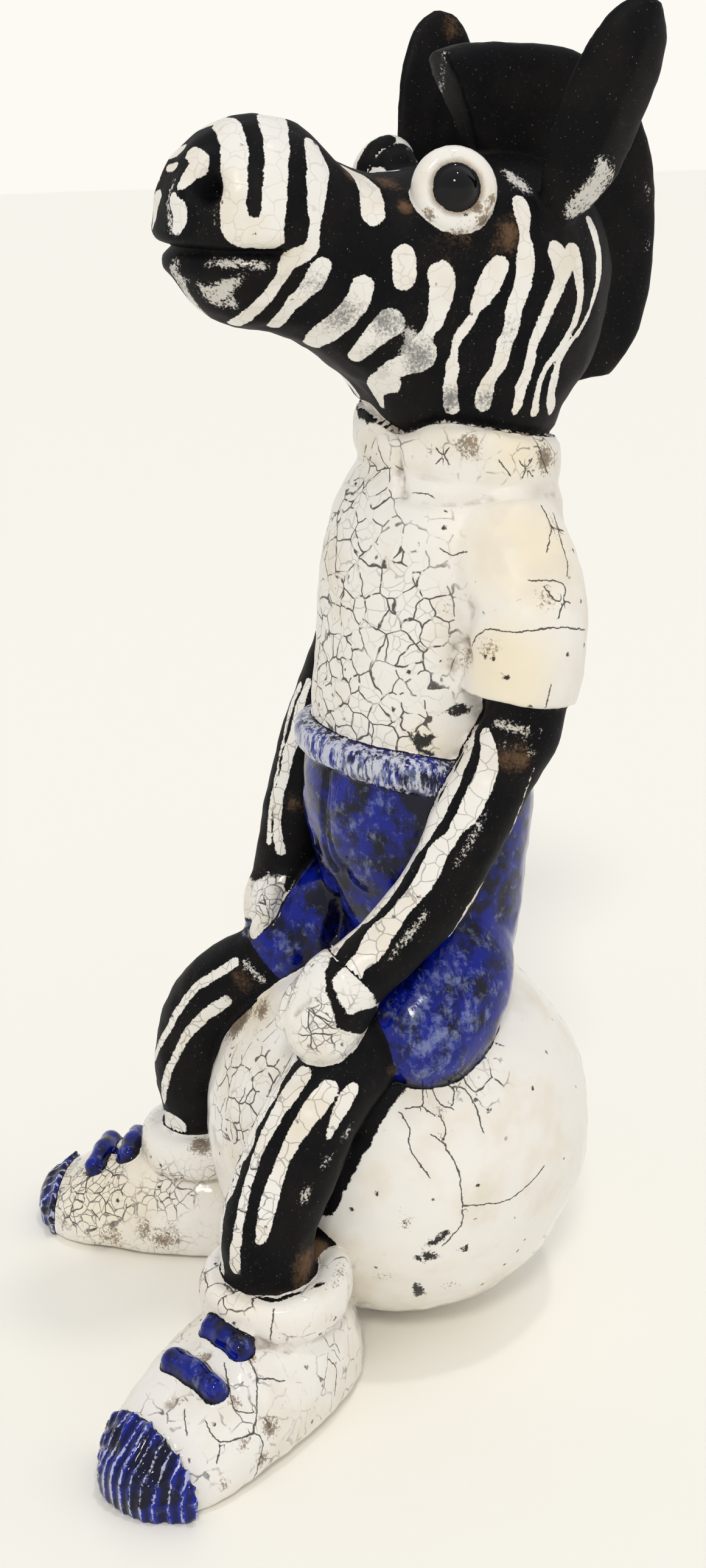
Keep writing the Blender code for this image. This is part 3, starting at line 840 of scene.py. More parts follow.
# Grooves: the forms, the row of pixels, the depth and the half width in mm
GROOVES = [
    (SHORTS_AND_NEAR_LEG, [(535, 1268), (533, 1320), (530, 1378), (537, 1410), (548, 1432)], 2.0, 1.1),
    (SHORTS_AND_NEAR_LEG, [(541, 1268), (540, 1320), (538, 1370), (547, 1405), (560, 1430)], 1.2, 1.0),
    (SHORTS_AND_NEAR_LEG, [(560, 1440), (590, 1470), (640, 1490)], 1.5, 5),
    (("shorts", "shorts_leg_left", "shorts_leg_right"), [(545, 1455), (552, 1500), (550, 1540)], 5, 4),
    (("shirt", "collar"), [(650, 744), (653, 770), (660, 808)], 2.6, 2.0),
    (("collar", "shirt", "sleeve_left"),
     [(655, 812), (720, 826), (790, 822), (870, 815), (920, 812)], 2.0, 2.4),
    (("sleeve_left", "shirt"), [(770, 1000), (757, 1050), (752, 1095)], 2.5, 4),
    (("sleeve_left", "shirt"), [(760, 1068), (764, 1078)], 3, 3),
    (("shoe_left", "cuff_left"),
     [(351, 2166), (385, 2188), (418, 2203), (446, 2212), (473, 2217)], 1.6, 2),
    (("shoe_left",), [(318, 2243), (340, 2225)], 3, 1.6),
    (("shoe_left",), [(281, 2302), (279, 2306)], 3, 1.8),
    (("shoe_right",), [(176, 1890), (200, 1886)], 3, 3),
    (("hand_left", "thumb_left"), [(481, 1668), (492, 1655), (505, 1645)], 2, 1.6),
]
FINGER_SIZE = 28
FINGER_DEPTH = 0.7
FINGER_SEED = 3
TOOL_SIZE = 7
TOOL_DEPTH = 0.22
TOOL_SEED = 11
COMB_PITCH = 4.4
COMB_DEPTH = 0.3


def unevenness(places, size, seed):
    """A slow seeded noise over the clay, between about -1 and 1."""
    return np.array([noise.noise(Vector(p) / size + Vector((seed, 0, 0))) for p in places]) * 2


def comb_marks(surface):
    """The wave that a comb left across the toe caps: 1 on its crests, -1 in its furrows, 0 elsewhere."""
    wave = np.zeros(surface.count)
    for side, label in SIDES:
        (x, y), turn_out, _ = SHOES[side]
        turn = math.radians(turn_out) * side
        across = (surface.place[:, 0] - x) * math.cos(turn) + (surface.place[:, 1] - y) * math.sin(turn)
        on_cap = surface.form == f"toe_cap_{label}"
        wave[on_cap] = np.cos(2 * np.pi * across / COMB_PITCH)[on_cap]
    return wave


print(len(GROOVES), "grooves to press")

# %% [markdown]
# The pushes are added up first and made once, so that the order of the tools doesn't matter. The eyes stay
# smooth and round, because they were rolled and not modelled, and the foot of the whole stays flat.

# %% The skin is worked
x, y, z = clay.place.T
outward = clay.outward()
beside_mouth = np.abs(z - MOUTH_Z)
open_mouth = smoothstep(-y, -MOUTH_CORNER_Y, -MOUTH_FULL_Y) * (z > MOUTH_LOWEST_Z)
push = open_mouth * (LIP_SWELL * bell(beside_mouth - LIP_REACH, LIP_REACH / 2)
                     - MOUTH_DEPTH * bell(beside_mouth, MOUTH_HALF_WIDTH))
nostril = Vector(on_clay([NOSTRIL_PIXEL, NOSTRIL_PIXEL], ["head"])[0][:3])
for side, label in SIDES:
    from_nostril = np.linalg.norm(clay.place - (side * nostril.x, nostril.y, nostril.z), axis=1)
    push += NOSTRIL_SWELL * bell(from_nostril - NOSTRIL_RIM_SHARE * NOSTRIL_HALF_WIDTH, NOSTRIL_HALF_WIDTH)
    push -= NOSTRIL_DEPTH * bell(from_nostril, NOSTRIL_HALF_WIDTH)
for names, row, depth, half_width in GROOVES:
    push -= depth * bell(inside([on_clay(row, names)], names, clay), half_width)
neck = clay.form == "head"
from_collar = from_tree(tree_of(["collar"]), clay.place[neck], COLLAR_GAP_REACH)
push[neck] -= COLLAR_GAP_DEPTH * bell(from_collar, COLLAR_GAP_HALF_WIDTH)
eye_parts = [f"{part}_{label}" for part in ("eye", "eye_ring") for _, label in SIDES]
modelled = ~np.isin(clay.form, eye_parts)
push += modelled * FINGER_DEPTH * unevenness(clay.place, FINGER_SIZE, FINGER_SEED)
push += modelled * TOOL_DEPTH * unevenness(clay.place, TOOL_SIZE, TOOL_SEED)
push += COMB_DEPTH * comb_marks(clay) * ribbed
clay.place += outward * push[:, None]
clay.place[:, 2] = np.maximum(clay.place[:, 2], 0)
print("the deepest dent is", round(-push.min(), 1), "mm")

# %% [markdown]
# The white stripes are glaze, brushed on by hand in loose strokes that swell, fork and run. A stripe formula
# would give a zebra, but not this one. So each stroke is a row of points on the photograph,
# with the brush's width there. The camera carries them on to the clay, where they become rows of beads.

# %% Strokes on the head
HEAD_STROKES = [
    # left bar of the fork on the muzzle
    [(368, 200, 30), (382, 229, 39), (384, 277, 43), (384, 336, 43), (388, 376, 45), (414, 384, 50),
     (440, 385, 50)],
    # its right bar
    [(446, 188, 34), (453, 221, 37), (456, 257, 38), (453, 300, 38), (449, 348, 39), (441, 385, 50)],
    # band behind it, running on under the corner of the mouth
    [(513, 237, 24), (523, 277, 38), (520, 336, 29), (517, 375, 18), (510, 411, 28), (477, 429, 30),
     (461, 458, 23), (438, 490, 17), (410, 514, 21), (386, 530, 16)],
    # blotch over the nostril
    [(315, 251, 20), (329, 267, 30), (313, 285, 22), (299, 306, 13)],
    # left of the nostril
    [(280, 277, 10), (289, 273, 12)],
    # drop under the nostril
    [(285, 328, 18), (295, 350, 31), (292, 374, 21)],
    # on the bridge
    [(570, 275, 16), (592, 291, 26), (608, 316, 36), (612, 352, 36)],
    # by the far eye
    [(606, 280, 7), (651, 279, 9)],
    # above the near eye ring
    [(687, 263, 5), (706, 254, 11), (726, 251, 12)],
    # first on the cheek
    [(528, 440, 33), (517, 462, 33), (493, 486, 24), (471, 510, 20), (451, 532, 18)],
    # second on the cheek
    [(596, 472, 38), (584, 500, 40), (560, 526, 40), (532, 545, 36), (513, 561, 22)],
    # oval
    [(663, 422, 38), (664, 457, 39)],
    # smoky blob
    [(641, 532, 47), (617, 553, 38), (584, 585, 20)],
    # third, with a blob at its foot
    [(724, 453, 45), (727, 480, 43), (721, 507, 34), (714, 531, 28), (703, 549, 20), (694, 569, 40),
     (692, 588, 45), (662, 602, 38), (634, 615, 26)],
    # on the throat
    [(633, 629, 43), (617, 638, 24), (624, 662, 14)],
    # fourth
    [(819, 438, 34), (807, 462, 41), (793, 490, 32), (783, 511, 17), (772, 531, 15), (755, 552, 17),
     (746, 576, 12), (743, 604, 19), (739, 635, 21), (742, 671, 22)],
    # fifth, the longest
    [(853, 332, 21), (858, 352, 28), (861, 387, 16), (862, 407, 28), (862, 442, 32), (857, 473, 29),
     (846, 507, 28), (838, 545, 25), (829, 569, 25), (820, 600, 22), (804, 624, 21), (796, 652, 29),
     (796, 664, 22)],
    # fork, its first lobe and left leg
    [(910, 409, 26), (922, 435, 38), (917, 466, 24), (900, 507, 20), (887, 538, 19), (875, 569, 17),
     (867, 604, 17), (857, 635, 17), (850, 662, 15), (845, 676, 9)],
    # fork, its second lobe and right leg
    [(941, 419, 33), (948, 442, 24), (951, 473, 15), (950, 497, 14), (944, 528, 14), (934, 548, 10),
     (920, 573, 12), (900, 600, 10), (888, 624, 8), (881, 652, 10), (878, 676, 13)],
    # last one, from under the ear
    [(968, 363, 14), (979, 393, 17), (984, 428, 14), (980, 466, 10), (972, 497, 6), (958, 535, 6),
     (937, 562, 8), (920, 590, 10), (913, 614, 14), (906, 645, 15), (905, 672, 14)],
]
HEAD_SMEARS_AND_SHEEN = [
    # brown and cream beside the eye
    [(838, 283, 21), (851, 294, 28), (863, 307, 21)],
    # on the lower lip
    [(398, 453, 17), (376, 468, 28), (363, 480, 30), (353, 494, 16)],
    # between the lips
    [(343, 428, 16), (394, 431, 24), (432, 436, 18)],
    # on the chin: a grey scuff with a painted sheen
    [(292, 440, 26), (300, 474, 34), (322, 504, 34), (350, 528, 24), (386, 540, 14)],
    # cream scuff over it
    [(330, 470, 16), (352, 492, 22), (384, 500, 16)],
    # worn nose
    [(286, 300, 8), (276, 340, 10), (284, 380, 10)],
    # beside the smoky blob
    [(664, 540, 18), (680, 560, 26), (664, 582, 22)],
    # worn edge behind the nostril
    [(355, 332, 7), (353, 366, 9)],
]
EAR_SMEARS = [
    # scuffed foot of the near ear
    [(985, 264, 22), (990, 294, 32), (974, 322, 52), (950, 342, 44)],
    # its edge
    [(1008, 262, 8), (1004, 300, 12), (990, 340, 14)],
]
print(len(HEAD_STROKES), "strokes on the head")

# %% [markdown]
# Arms and legs carry long stripes from end to end, broken into beads where the glaze pulled apart. The wrists
# stay bare where a finger wiped the glaze off before the firing. Beside the stripes come the small accidents
# of the brush: smears, drops of cobalt that ran down on to the ball, and the ragged rim of the near cuff.

# %% Strokes on arms and legs
LEFT_ARM_STROKES = [
    # front one
    [(778, 1199, 11), (770, 1226, 19), (762, 1250, 17), (746, 1286, 23), (727, 1326, 26), (710, 1356, 22),
     (692, 1382, 22), (675, 1409, 24), (658, 1434, 26), (639, 1461, 26), (616, 1485, 26), (597, 1503, 17)],
    # front one again, above the hand
    [(573, 1536, 13), (558, 1551, 24), (545, 1568, 26)],
    # broad one
    [(797, 1204, 17), (803, 1239, 29), (798, 1273, 35), (783, 1308, 37), (766, 1343, 33), (749, 1361, 22),
     (740, 1380, 22), (719, 1400, 33), (705, 1430, 35), (688, 1460, 30), (666, 1486, 26), (645, 1512, 30),
     (623, 1535, 43), (610, 1560, 40), (587, 1587, 30), (571, 1616, 36), (562, 1637, 30)],
    # thin one down the back edge
    [(877, 1260, 3), (846, 1347, 3), (814, 1421, 4), (770, 1490, 4), (740, 1538, 3)],
]
RIGHT_ARM_STROKES = [
    # broad one
    [(507, 1122, 13), (495, 1156, 15), (486, 1195, 16), (475, 1234, 20), (467, 1273, 16), (458, 1312, 16),
     (456, 1347, 14), (458, 1378, 15), (462, 1399, 14)],
    # thin one in front
    [(492, 1126, 10), (478, 1165, 8), (465, 1221, 5), (452, 1286, 5), (443, 1343, 8), (441, 1382, 9)],
]
LEFT_LEG_STROKES = [
    # front one
    [(496, 1766, 30), (478, 1793, 32), (450, 1840, 24), (427, 1887, 18), (409, 1940, 16), (397, 1995, 16),
     (389, 2042, 16), (386, 2083, 18)],
    # middle one
    [(541, 1790, 30), (517, 1820, 36), (489, 1860, 27), (468, 1900, 21), (455, 1934, 23), (442, 1974, 27),
     (434, 2013, 24), (427, 2038, 14)],
    # back one
    [(579, 1788, 18), (566, 1812, 26), (550, 1840, 18), (541, 1866, 10)],
]
RIGHT_LEG_STROKES = [
    # front one
    [(385, 1581, 15), (358, 1598, 14), (324, 1622, 12), (297, 1655, 11), (273, 1696, 9), (255, 1730, 9),
     (251, 1770, 7)],
    # back one
    [(371, 1645, 18), (337, 1669, 16), (310, 1696, 14), (290, 1730, 12), (273, 1770, 11), (266, 1811, 9)],
    # blotch over the cuff
    [(273, 1838, 20), (289, 1848, 31)],
]
LEFT_LEG_SMEARS = [
    [(576, 1846, 11), (562, 1870, 13)],
    [(540, 1900, 10), (530, 1918, 14)],
    [(506, 1950, 12), (498, 1974, 15)],
]
RIGHT_LEG_SMEARS = [
    # far hip
    [(405, 1585, 18), (429, 1608, 15)],
]
DRIPS = [
    # cobalt that ran down on to the ball
    [(741, 1735, 8), (747, 1741, 9)],
    [(760, 1738, 9), (767, 1741, 9)],
    [(782, 1731, 8), (789, 1728, 8)],
    [(814, 1714, 4), (830, 1722, 5), (838, 1736, 4)],
]
ARM_SMEARS = [
    # scuffs under the sleeve
    [(818, 1188, 12), (850, 1198, 16), (884, 1202, 14)],
    [(828, 1222, 10), (860, 1236, 14), (880, 1232, 10)],
    # down the outer side
    [(800, 1330, 8), (776, 1376, 12), (748, 1424, 10)],
    [(700, 1500, 10), (670, 1540, 14), (645, 1572, 12)],
]
BALL_FRINGE = [
    # under the near hand
    [(486, 1736, 14), (512, 1758, 24), (540, 1776, 26)],
    # down the right edge of the near leg
    [(694, 1744, 26), (640, 1795, 34), (596, 1862, 38), (562, 1925, 36), (534, 1985, 34)],
]
MANE_SMEARS = [
    # worn edge of the front
    [(731, 92, 12), (727, 130, 10), (722, 170, 12)],
    [(1062, 300, 7), (1064, 330, 9)],
    [(1066, 380, 8), (1060, 420, 7)],
]
CUFF_RIM = [
    [(354, 2078, 4), (378, 2108, 7), (410, 2125, 5), (446, 2134, 8), (492, 2124, 6), (534, 2106, 7)],
]
LEFT_HAND_WIPES = [
    # near wrist
    [(556, 1581, 28), (541, 1612, 15), (553, 1655, 17), (571, 1681, 30), (606, 1677, 39)],
]
RIGHT_HAND_WIPES = [
    # far wrist
    [(475, 1406, 16), (479, 1434, 19), (473, 1460, 10)],
]
RIGHT_EYE_WIPES = [
    # round the far eye, dark but for one bit
    [(596, 285, 30), (606, 262, 34), (622, 240, 34), (640, 226, 22)],
    [(610, 285, 40), (640, 270, 40), (668, 262, 24), (690, 258, 14)],
]
print(len(LEFT_ARM_STROKES) + len(RIGHT_ARM_STROKES), "on the arms")

# %% [markdown]
# Long cracks opened where the glaze was thick and shrank. Smoke went into them and drew them black. The fine
# net between them comes from the material, but these few are so plain that they are placed one by one. So are
# the sooty smudges that a burning leaf left on the shirt and on the ball, and the painted shade in the hole
# under the sleeve.

# %% Long cracks and smudges
CRACKS = [
    # sleeve, across
    [(775, 1057), (800, 1034), (850, 1038), (905, 1031), (956, 1034)],
    # sleeve, upper hook
    [(876, 954), (926, 960), (918, 1010)],
    # shoulder
    [(909, 850), (930, 914), (932, 939)],
    # hem
    [(903, 1132), (897, 1156)],
    # ball, main
    [(727, 1838), (733, 1859), (731, 1881), (746, 1907), (755, 1933), (759, 1981), (757, 2011),
     (731, 2041)],
    # ball, into it
    [(714, 1868), (733, 1881)],
    # ball, long branch
    [(759, 1981), (827, 1974), (861, 1953), (889, 1920)],
    # ball, by the leg
    [(660, 1833), (673, 1855), (675, 1890), (703, 1931)],
    # ball, top left
    [(694, 1777), (696, 1816), (709, 1829)],
    # its twig
    [(696, 1816), (673, 1820)],
    # ball, top
    [(709, 1790), (722, 1812), (740, 1820)],
    # ball, top right
    [(725, 1779), (746, 1790), (744, 1814)],
    # ball, right of that
    [(748, 1786), (766, 1790), (783, 1820), (794, 1855)],
    # shoe, main
    [(411, 2239), (422, 2264), (420, 2329), (415, 2350), (431, 2371), (419, 2425)],
    # shoe, twig
    [(422, 2264), (461, 2268)],
    # shoe, from the lace
    [(369, 2246), (378, 2286), (386, 2316), (419, 2321)],
    # shoe, over the toe
    [(340, 2339), (363, 2370), (415, 2354)],
    # shoe, its tail
    [(363, 2370), (358, 2396)],
    # shoe, toe
    [(304, 2321), (306, 2350)],
    # shoe, heel
    [(544, 2236), (554, 2250), (551, 2286)],
    # cuff
    [(449, 2157), (444, 2200)],
    # marks on the collar and the shoulder
    [(722, 742), (734, 757)],
    [(734, 742), (722, 757)],
    [(889, 746), (897, 772)],
    [(858, 762), (872, 778)],
    [(871, 760), (860, 778)],
    [(824, 762), (834, 776)],
    # down the shoulder
    [(890, 838), (904, 866), (900, 900)],
    [(904, 866), (920, 872)],
    [(896, 968), (912, 986), (930, 990)],
    # from the collar
    [(655, 812), (700, 812), (716, 826)],
    # sleeve, in the folds
    [(730, 905), (744, 912), (762, 908)],
]
SMUDGES_AND_SHADE = [
    # shirt side, upper
    [(738, 1169, 14), (753, 1166, 24), (768, 1165, 17)],
    # shirt side, lower
    [(675, 1208, 17), (692, 1212, 24), (714, 1215, 16)],
    # below that
    [(688, 1230, 8), (710, 1240, 10)],
    # ball
    [(703, 2041, 13), (718, 2033, 20), (734, 2024, 12)],
    # ball, lower left
    [(682, 2060, 12), (698, 2066, 19), (712, 2064, 13), (730, 2061, 9)],
    # ball, right of that
    [(754, 2056, 12), (770, 2048, 13)],
    # ball, low
    [(686, 2112, 14), (690, 2128, 15)],
    # ball, spots
    [(631, 1932, 10), (634, 1934, 10)],
    [(873, 1771, 9), (875, 1775, 9)],
    [(803, 1826, 8), (806, 1822, 8)],
    [(662, 2004, 7), (668, 2009, 9)],
    # shirt and sleeve, specks
    [(838, 861, 8), (838, 867, 8)],
    [(850, 986, 10), (854, 990, 8)],
    [(785, 955, 7), (790, 958, 7)],
    [(765, 978, 8), (768, 984, 8)],
    [(794, 1003, 7), (795, 1008, 7)],
    [(722, 834, 6), (727, 836, 6)],
    [(819, 1110, 9), (832, 1113, 11)],
    # armpit: a painted shade in the hole under the sleeve
    [(758, 1070, 16), (763, 1078, 14)],
]
print(len(CRACKS), "long cracks")

# %% [markdown]
# The stripes are brushed on before the skin is thinned, because the mesh has to stay fine along their edges.
# Each point learns how far inside a stroke it lies. That distance crosses zero on the edge itself, so the
# edge stays sharp between two points, which a painted colour wouldn't.

# %% The brushwork
STRIPE_START = 0.22
STRIPE_END = 0.88
STRIPE_WIDTH = 9
SWELL_LOSS = 0.2
SWELL_SHARE = 0.3
SWELL_RATE = 1.9


def mirrored(rows, least=3):
    """The same strokes on the side that the camera doesn't see."""
    kept = [[(-x, y, z, r) for x, y, z, r in row if x > least] for row in rows]
    return [row for row in kept if len(row) > 1]


def along_limb(rows, turn):
    """A stripe down the hidden side of a limb, turn degrees round it, that swells as the others do."""
    frames = limb_frames(rows)
    last = len(frames) - 1
    a = math.radians(turn)
    beads = []
    for k, frame_here in enumerate(frames[round(STRIPE_START * last):round(STRIPE_END * last) + 1]):
        middle, side, other, radius = frame_here
        place = middle + (side * math.cos(a) + other * math.sin(a)) * radius
        swell = 1 - SWELL_LOSS + SWELL_SHARE * math.sin(SWELL_RATE * k)
        beads.append((*place, STRIPE_WIDTH / 2 * swell))
    return beads


def work(strokes, names, marked=None):
    """Strokes that are laid on the forms of these names, and the forms that they mark."""
    return painted(strokes, names), marked or names


def brush(groups, surface):
    """How far inside the nearest stroke of some groups each point lies."""
    return np.max([inside(rows, names, surface) for rows, names in groups], axis=0)


HEAD_FORMS = ["head", "eye_seat_left", "eye_seat_right"]
HIDDEN_TURNS = {LEFT: (120, 190), RIGHT: (150, 210)}
CLOTHES_AND_BALL = ["shirt", "sleeve_left", "ball", "shoe_left", "cuff_left", "collar"]
on_head = painted(HEAD_STROKES, HEAD_FORMS)
brushed = [(on_head + mirrored(on_head), HEAD_FORMS)]
for side, label, arm_strokes, leg_strokes in ((LEFT, "left", LEFT_ARM_STROKES, LEFT_LEG_STROKES),
                                              (RIGHT, "right", RIGHT_ARM_STROKES, RIGHT_LEG_STROKES)):
    for part, rows, strokes in (("arm", ARMS, arm_strokes), ("leg", LEGS, leg_strokes)):
        names = [f"{part}_{label}"]
        hidden = [along_limb(rows[side], turn) for turn in HIDDEN_TURNS[side]]
        brushed.append((painted(strokes, names) + hidden, names))
scuffed_and_sheen = [work(HEAD_SMEARS_AND_SHEEN, HEAD_FORMS), work(EAR_SMEARS, ["ear_left"]), work(MANE_SMEARS, ["mane"]),
           work(ARM_SMEARS, ["arm_left"]), work(LEFT_LEG_SMEARS, ["leg_left"]),
           work(RIGHT_LEG_SMEARS, ["leg_right"])]
wiped = [work(LEFT_HAND_WIPES, ["hand_left"], ["hand_left", "thumb_left"]),
         work(RIGHT_HAND_WIPES, ["hand_right"]), work(RIGHT_EYE_WIPES, ["eye_ring_right"]),
         work(BALL_FRINGE, ["ball"]), work(CUFF_RIM, ["cuff_left"])]
sooted_and_shaded = [work(SMUDGES_AND_SHADE, CLOTHES_AND_BALL)]
cracked = [np.array(row)[:, :3] for row in painted(CRACKS, CLOTHES_AND_BALL)]


def crack_fields(surface):
    """On which side of the nearest crack each point lies and how far, and how far the crack itself is."""
    beside = np.full(surface.count, float(FAR))
    gaps = np.full(surface.count, float(FAR))
    normals = surface.outward()
    for row in cracked:
        for start, end in zip(row, row[1:]):
            along = end - start
            share = ((surface.place - start) @ along / max(along @ along, 1e-6)).clip(0, 1)
            offset = surface.place - start - share[:, None] * along
            gap = np.linalg.norm(offset, axis=1)
            across = np.cross(normals, along / np.linalg.norm(along))
            nearer = gap < gaps
            beside[nearer] = (offset * across).sum(1)[nearer]
            gaps[nearer] = gap[nearer]
    return beside, gaps


print(sum(len(rows) for rows, _ in brushed), "strokes, and", len(cracked), "long cracks")

# %% [markdown]
# The even skin has more faces than a shared part should carry. Collapsing its flattest edges first keeps the
# creases crisp, and a weight keeps the mesh fine where a stroke, a crack or a seam between two glazes runs.
# The piece then has the size of the real one in metres, and every field is measured again on its points.

# %% The finished skin
FACE_LIMIT = 197000
FINE_BAND = 2.2
WEIGHT_STEPS = 4


def distances(surface):
    """How far each point lies from every glaze."""
    found = {}
    for finish in ("white", "black", "blue", "gloss"):
        names = [name for name in forms if forms[name][0] == finish]
        found[finish] = from_tree(tree_of(names), surface.place)
    return found


def largest_shell(mesh):
    """Leaves the largest closed shell of a mesh, because the voxels also made crumbs beside thin edges."""
    builder = bmesh.new()
    builder.from_mesh(mesh)
    unseen = set(builder.verts)
    shells = []
    while unseen:
        shell = [unseen.pop()]
        for vert in shell:
            for edge in vert.link_edges:
                other = edge.other_vert(vert)
                if other in unseen:
                    unseen.discard(other)
                    shell.append(other)
        shells.append(shell)
    shells.sort(key=len)
    crumbs = [vert for shell in shells[:-1] for vert in shell]
    bmesh.ops.delete(builder, geom=crumbs, context="VERTS")
    builder.to_mesh(mesh)
    builder.free()
    print("crumbs taken off:", len(shells) - 1)


clay.store()
away = distances(clay)
second = np.sort(np.stack(list(away.values())), 0)[1]
edge = np.min([np.abs(brush(brushed, clay)), crack_fields(clay)[1], second], 0)
fineness = 1 - smoothstep(edge, FINE_BAND, 2 * FINE_BAND)
weights = 1 - np.round(fineness * WEIGHT_STEPS) / WEIGHT_STEPS
trimmed = through_modifier(fused, "DECIMATE", weights, ratio=min(1, FACE_LIMIT / (2 * clay.count)),
                           vertex_group="flat", vertex_group_factor=1, use_collapse_triangulate=True)
largest_shell(trimmed)
body = Skin(trimmed)
body.form = owners_of(body.place)
away = distances(body)
stripe = brush(brushed, body)
smear = brush(scuffed_and_sheen, body)
bare = brush(wiped, body)
smudge_and_shade = brush(sooted_and_shaded, body)
crack_side, crack_gap = crack_fields(body)
print("the skin has", body.count, "points and", len(trimmed.polygons), "faces")

# %% [markdown]
# Smoke, heat and rubbing changed the surface in patches: brown where the clay was rubbed or burnt through,
# grey or stained where smoke got into the white, and a dense net of cracks where the glaze is thick. The
# white is a warm cream in some patches. The cobalt has pale clouds where it lies thin and deep places where
# it ran together. Soft round spots, placed on the photograph, say how much of each there is.

# %% Patches
# Each spot is a pixel, a radius in pixels and a strength
# clay that was rubbed brown
BROWN = [
    (322, 328, 8, 1.6), (576, 285, 24, 0.9), (635, 292, 45, 0.8), (664, 340, 16, 1), (745, 400, 70, 0.6),
    (834, 393, 40, 0.9), (844, 1243, 38, 1), (675, 1672, 28, 0.7), (484, 1317, 22, 0.8),
    (735, 45, 34, 0.8), (402, 1603, 34, 0.8), (505, 2075, 40, 1), (518, 2058, 22, 1.6),
    (418, 447, 26, 0.6), (800, 640, 30, 0.5), (640, 1760, 40, 0.5), (330, 1905, 26, 1),
]
# stripes that the smoke got into
SMOKE = [
    (686, 586, 46, 0.7), (741, 655, 24, 1), (796, 655, 24, 1), (834, 552, 40, 0.4), (517, 466, 40, 0.5),
    (564, 522, 42, 0.7), (639, 530, 40, 0.9), (625, 590, 40, 0.8), (655, 1420, 30, 0.6),
    (590, 1500, 34, 0.5), (545, 1880, 30, 0.5), (380, 1640, 26, 0.5),
]
# where the net of cracks is dense
NET = [
    (640, 1000, 130, 1), (600, 1180, 130, 1), (560, 900, 110, 1), (545, 1050, 110, 1),
    (700, 1150, 60, 0.8), (600, 800, 80, 0.9), (545, 1200, 110, 1), (690, 1050, 60, 0.9),
    (400, 1800, 110, 1), (390, 1950, 80, 0.9), (790, 1770, 60, 0.9), (220, 2330, 60, 0.4),
    (400, 2120, 60, 0.8), (150, 1960, 90, 0.9), (290, 1960, 70, 0.6), (480, 1620, 60, 0.9),
    (520, 1690, 50, 0.9), (450, 1480, 60, 0.8), (300, 2330, 80, 0.5), (400, 2300, 60, 0.5),
]
# pale clouds in the cobalt
PALE = [
    (590, 1340, 60, 0.7), (570, 1420, 50, 0.6), (720, 1660, 80, 1), (690, 1720, 50, 1),
    (780, 1620, 50, 0.7), (820, 1505, 16, 1.8), (480, 1560, 40, 0.8), (455, 1600, 40, 0.8),
    (640, 1560, 30, 0.5), (372, 2203, 12, 1.6), (318, 2268, 14, 1.6), (200, 1865, 10, 1.2),
    (152, 1888, 10, 1.2),
]
# deep places in the cobalt
DEEP = [
    (700, 1400, 90, 1), (640, 1480, 60, 0.8), (540, 1480, 40, 1), (790, 1400, 60, 1),
    (560, 1560, 40, 0.8), (560, 1500, 40, 1), (396, 2226, 12, 1), (262, 2250, 12, 1), (354, 2302, 12, 1),
]
# brown stains on the white
TAN = [
    (445, 2343, 20, 1), (402, 2375, 18, 1), (372, 2439, 20, 1), (464, 2305, 12, 0.8),
    (430, 2400, 20, 0.7), (270, 2030, 30, 1), (185, 2030, 30, 0.9), (110, 2015, 24, 0.9),
    (176, 1888, 22, 1), (292, 2300, 12, 1), (335, 2232, 18, 1), (385, 2300, 16, 0.9),
    (415, 2232, 14, 0.8), (770, 735, 26, 1), (895, 756, 24, 1), (700, 740, 16, 0.8), (392, 1680, 34, 1.5),
    (355, 1730, 26, 1.4), (430, 1655, 24, 1.2), (422, 1753, 12, 0.7), (725, 1828, 16, 0.8),
    (666, 2008, 16, 0.9), (640, 2100, 22, 0.6), (740, 2110, 22, 0.6), (800, 1060, 22, 0.8),
    (760, 1075, 30, 1), (850, 1240, 18, 1), (735, 1000, 16, 0.7), (906, 870, 20, 0.6),
    (900, 980, 22, 0.6), (500, 2060, 24, 1), (560, 2090, 20, 0.8), (330, 2100, 22, 0.6),
    (470, 2200, 14, 0.6), (712, 1770, 14, 0.7), (812, 690, 20, 0.5), (560, 1690, 20, 0.6),
    (520, 1640, 14, 0.6), (808, 330, 16, 1.3), (795, 362, 18, 1.3), (705, 355, 14, 0.9),
    (783, 340, 12, 1.3), (750, 386, 24, 1), (700, 280, 12, 0.6), (742, 250, 14, 0.5),
    (410, 1455, 14, 0.6), (330, 1882, 24, 1.4), (236, 1850, 12, 1), (550, 2110, 16, 1),
    (240, 2020, 22, 1.2),
]
# where the white is a warm cream
WARM = [
    (860, 900, 110, 1), (830, 1100, 90, 1), (700, 1230, 60, 0.7), (500, 1450, 50, 0.8),
    (480, 1530, 50, 0.8), (180, 1950, 120, 0.8), (420, 2130, 90, 0.5), (470, 1670, 60, 0.4),
    (420, 1660, 60, 0.8), (850, 730, 80, 0.8),
]
everywhere = tree_of(forms)
whole_depth = (MIDDLE - camera_mm).dot(lens_axis)


def patches(spots):
    """The strongest of some soft round spots at each point of the skin."""
    found = np.zeros(body.count)
    for u, v, radius, strength in spots:
        place, _ = land(u, v, everywhere, whole_depth)
        gap = np.linalg.norm(body.place - place, axis=1)
        found = np.maximum(found, strength * bell(gap, radius * pixel_size(place)))
    return found


def of_form(*parts):
    """1 on the forms whose names start with one of these words, and 0 elsewhere, softened a little."""
    found = np.array([float(name.startswith(parts)) for name in body.form])
    return (found + body.average(found)) / 2


spots = (BROWN, SMOKE, NET, PALE, DEEP, TAN, WARM)
print(sum(len(places) for places in spots), "soft spots")

# %% [markdown]
# Everything that the finish has to know about a point is stored on the skin as a named number. The material
# reads these numbers by name, so the same mesh carries its finish into any other scene.

# %% Fields on the skin
CREASE_PASSES = 4
HIDDEN_FROM_X = 10
HIDDEN_FULL_X = 50
NET_ON_CLAY_PARTS = 0.35
NET_ON_HIDDEN_SIDES = 0.45
OVERLAP = 0.5
OVERLAP_ON_BALL = 2.2
OVERLAP_FREE = 8

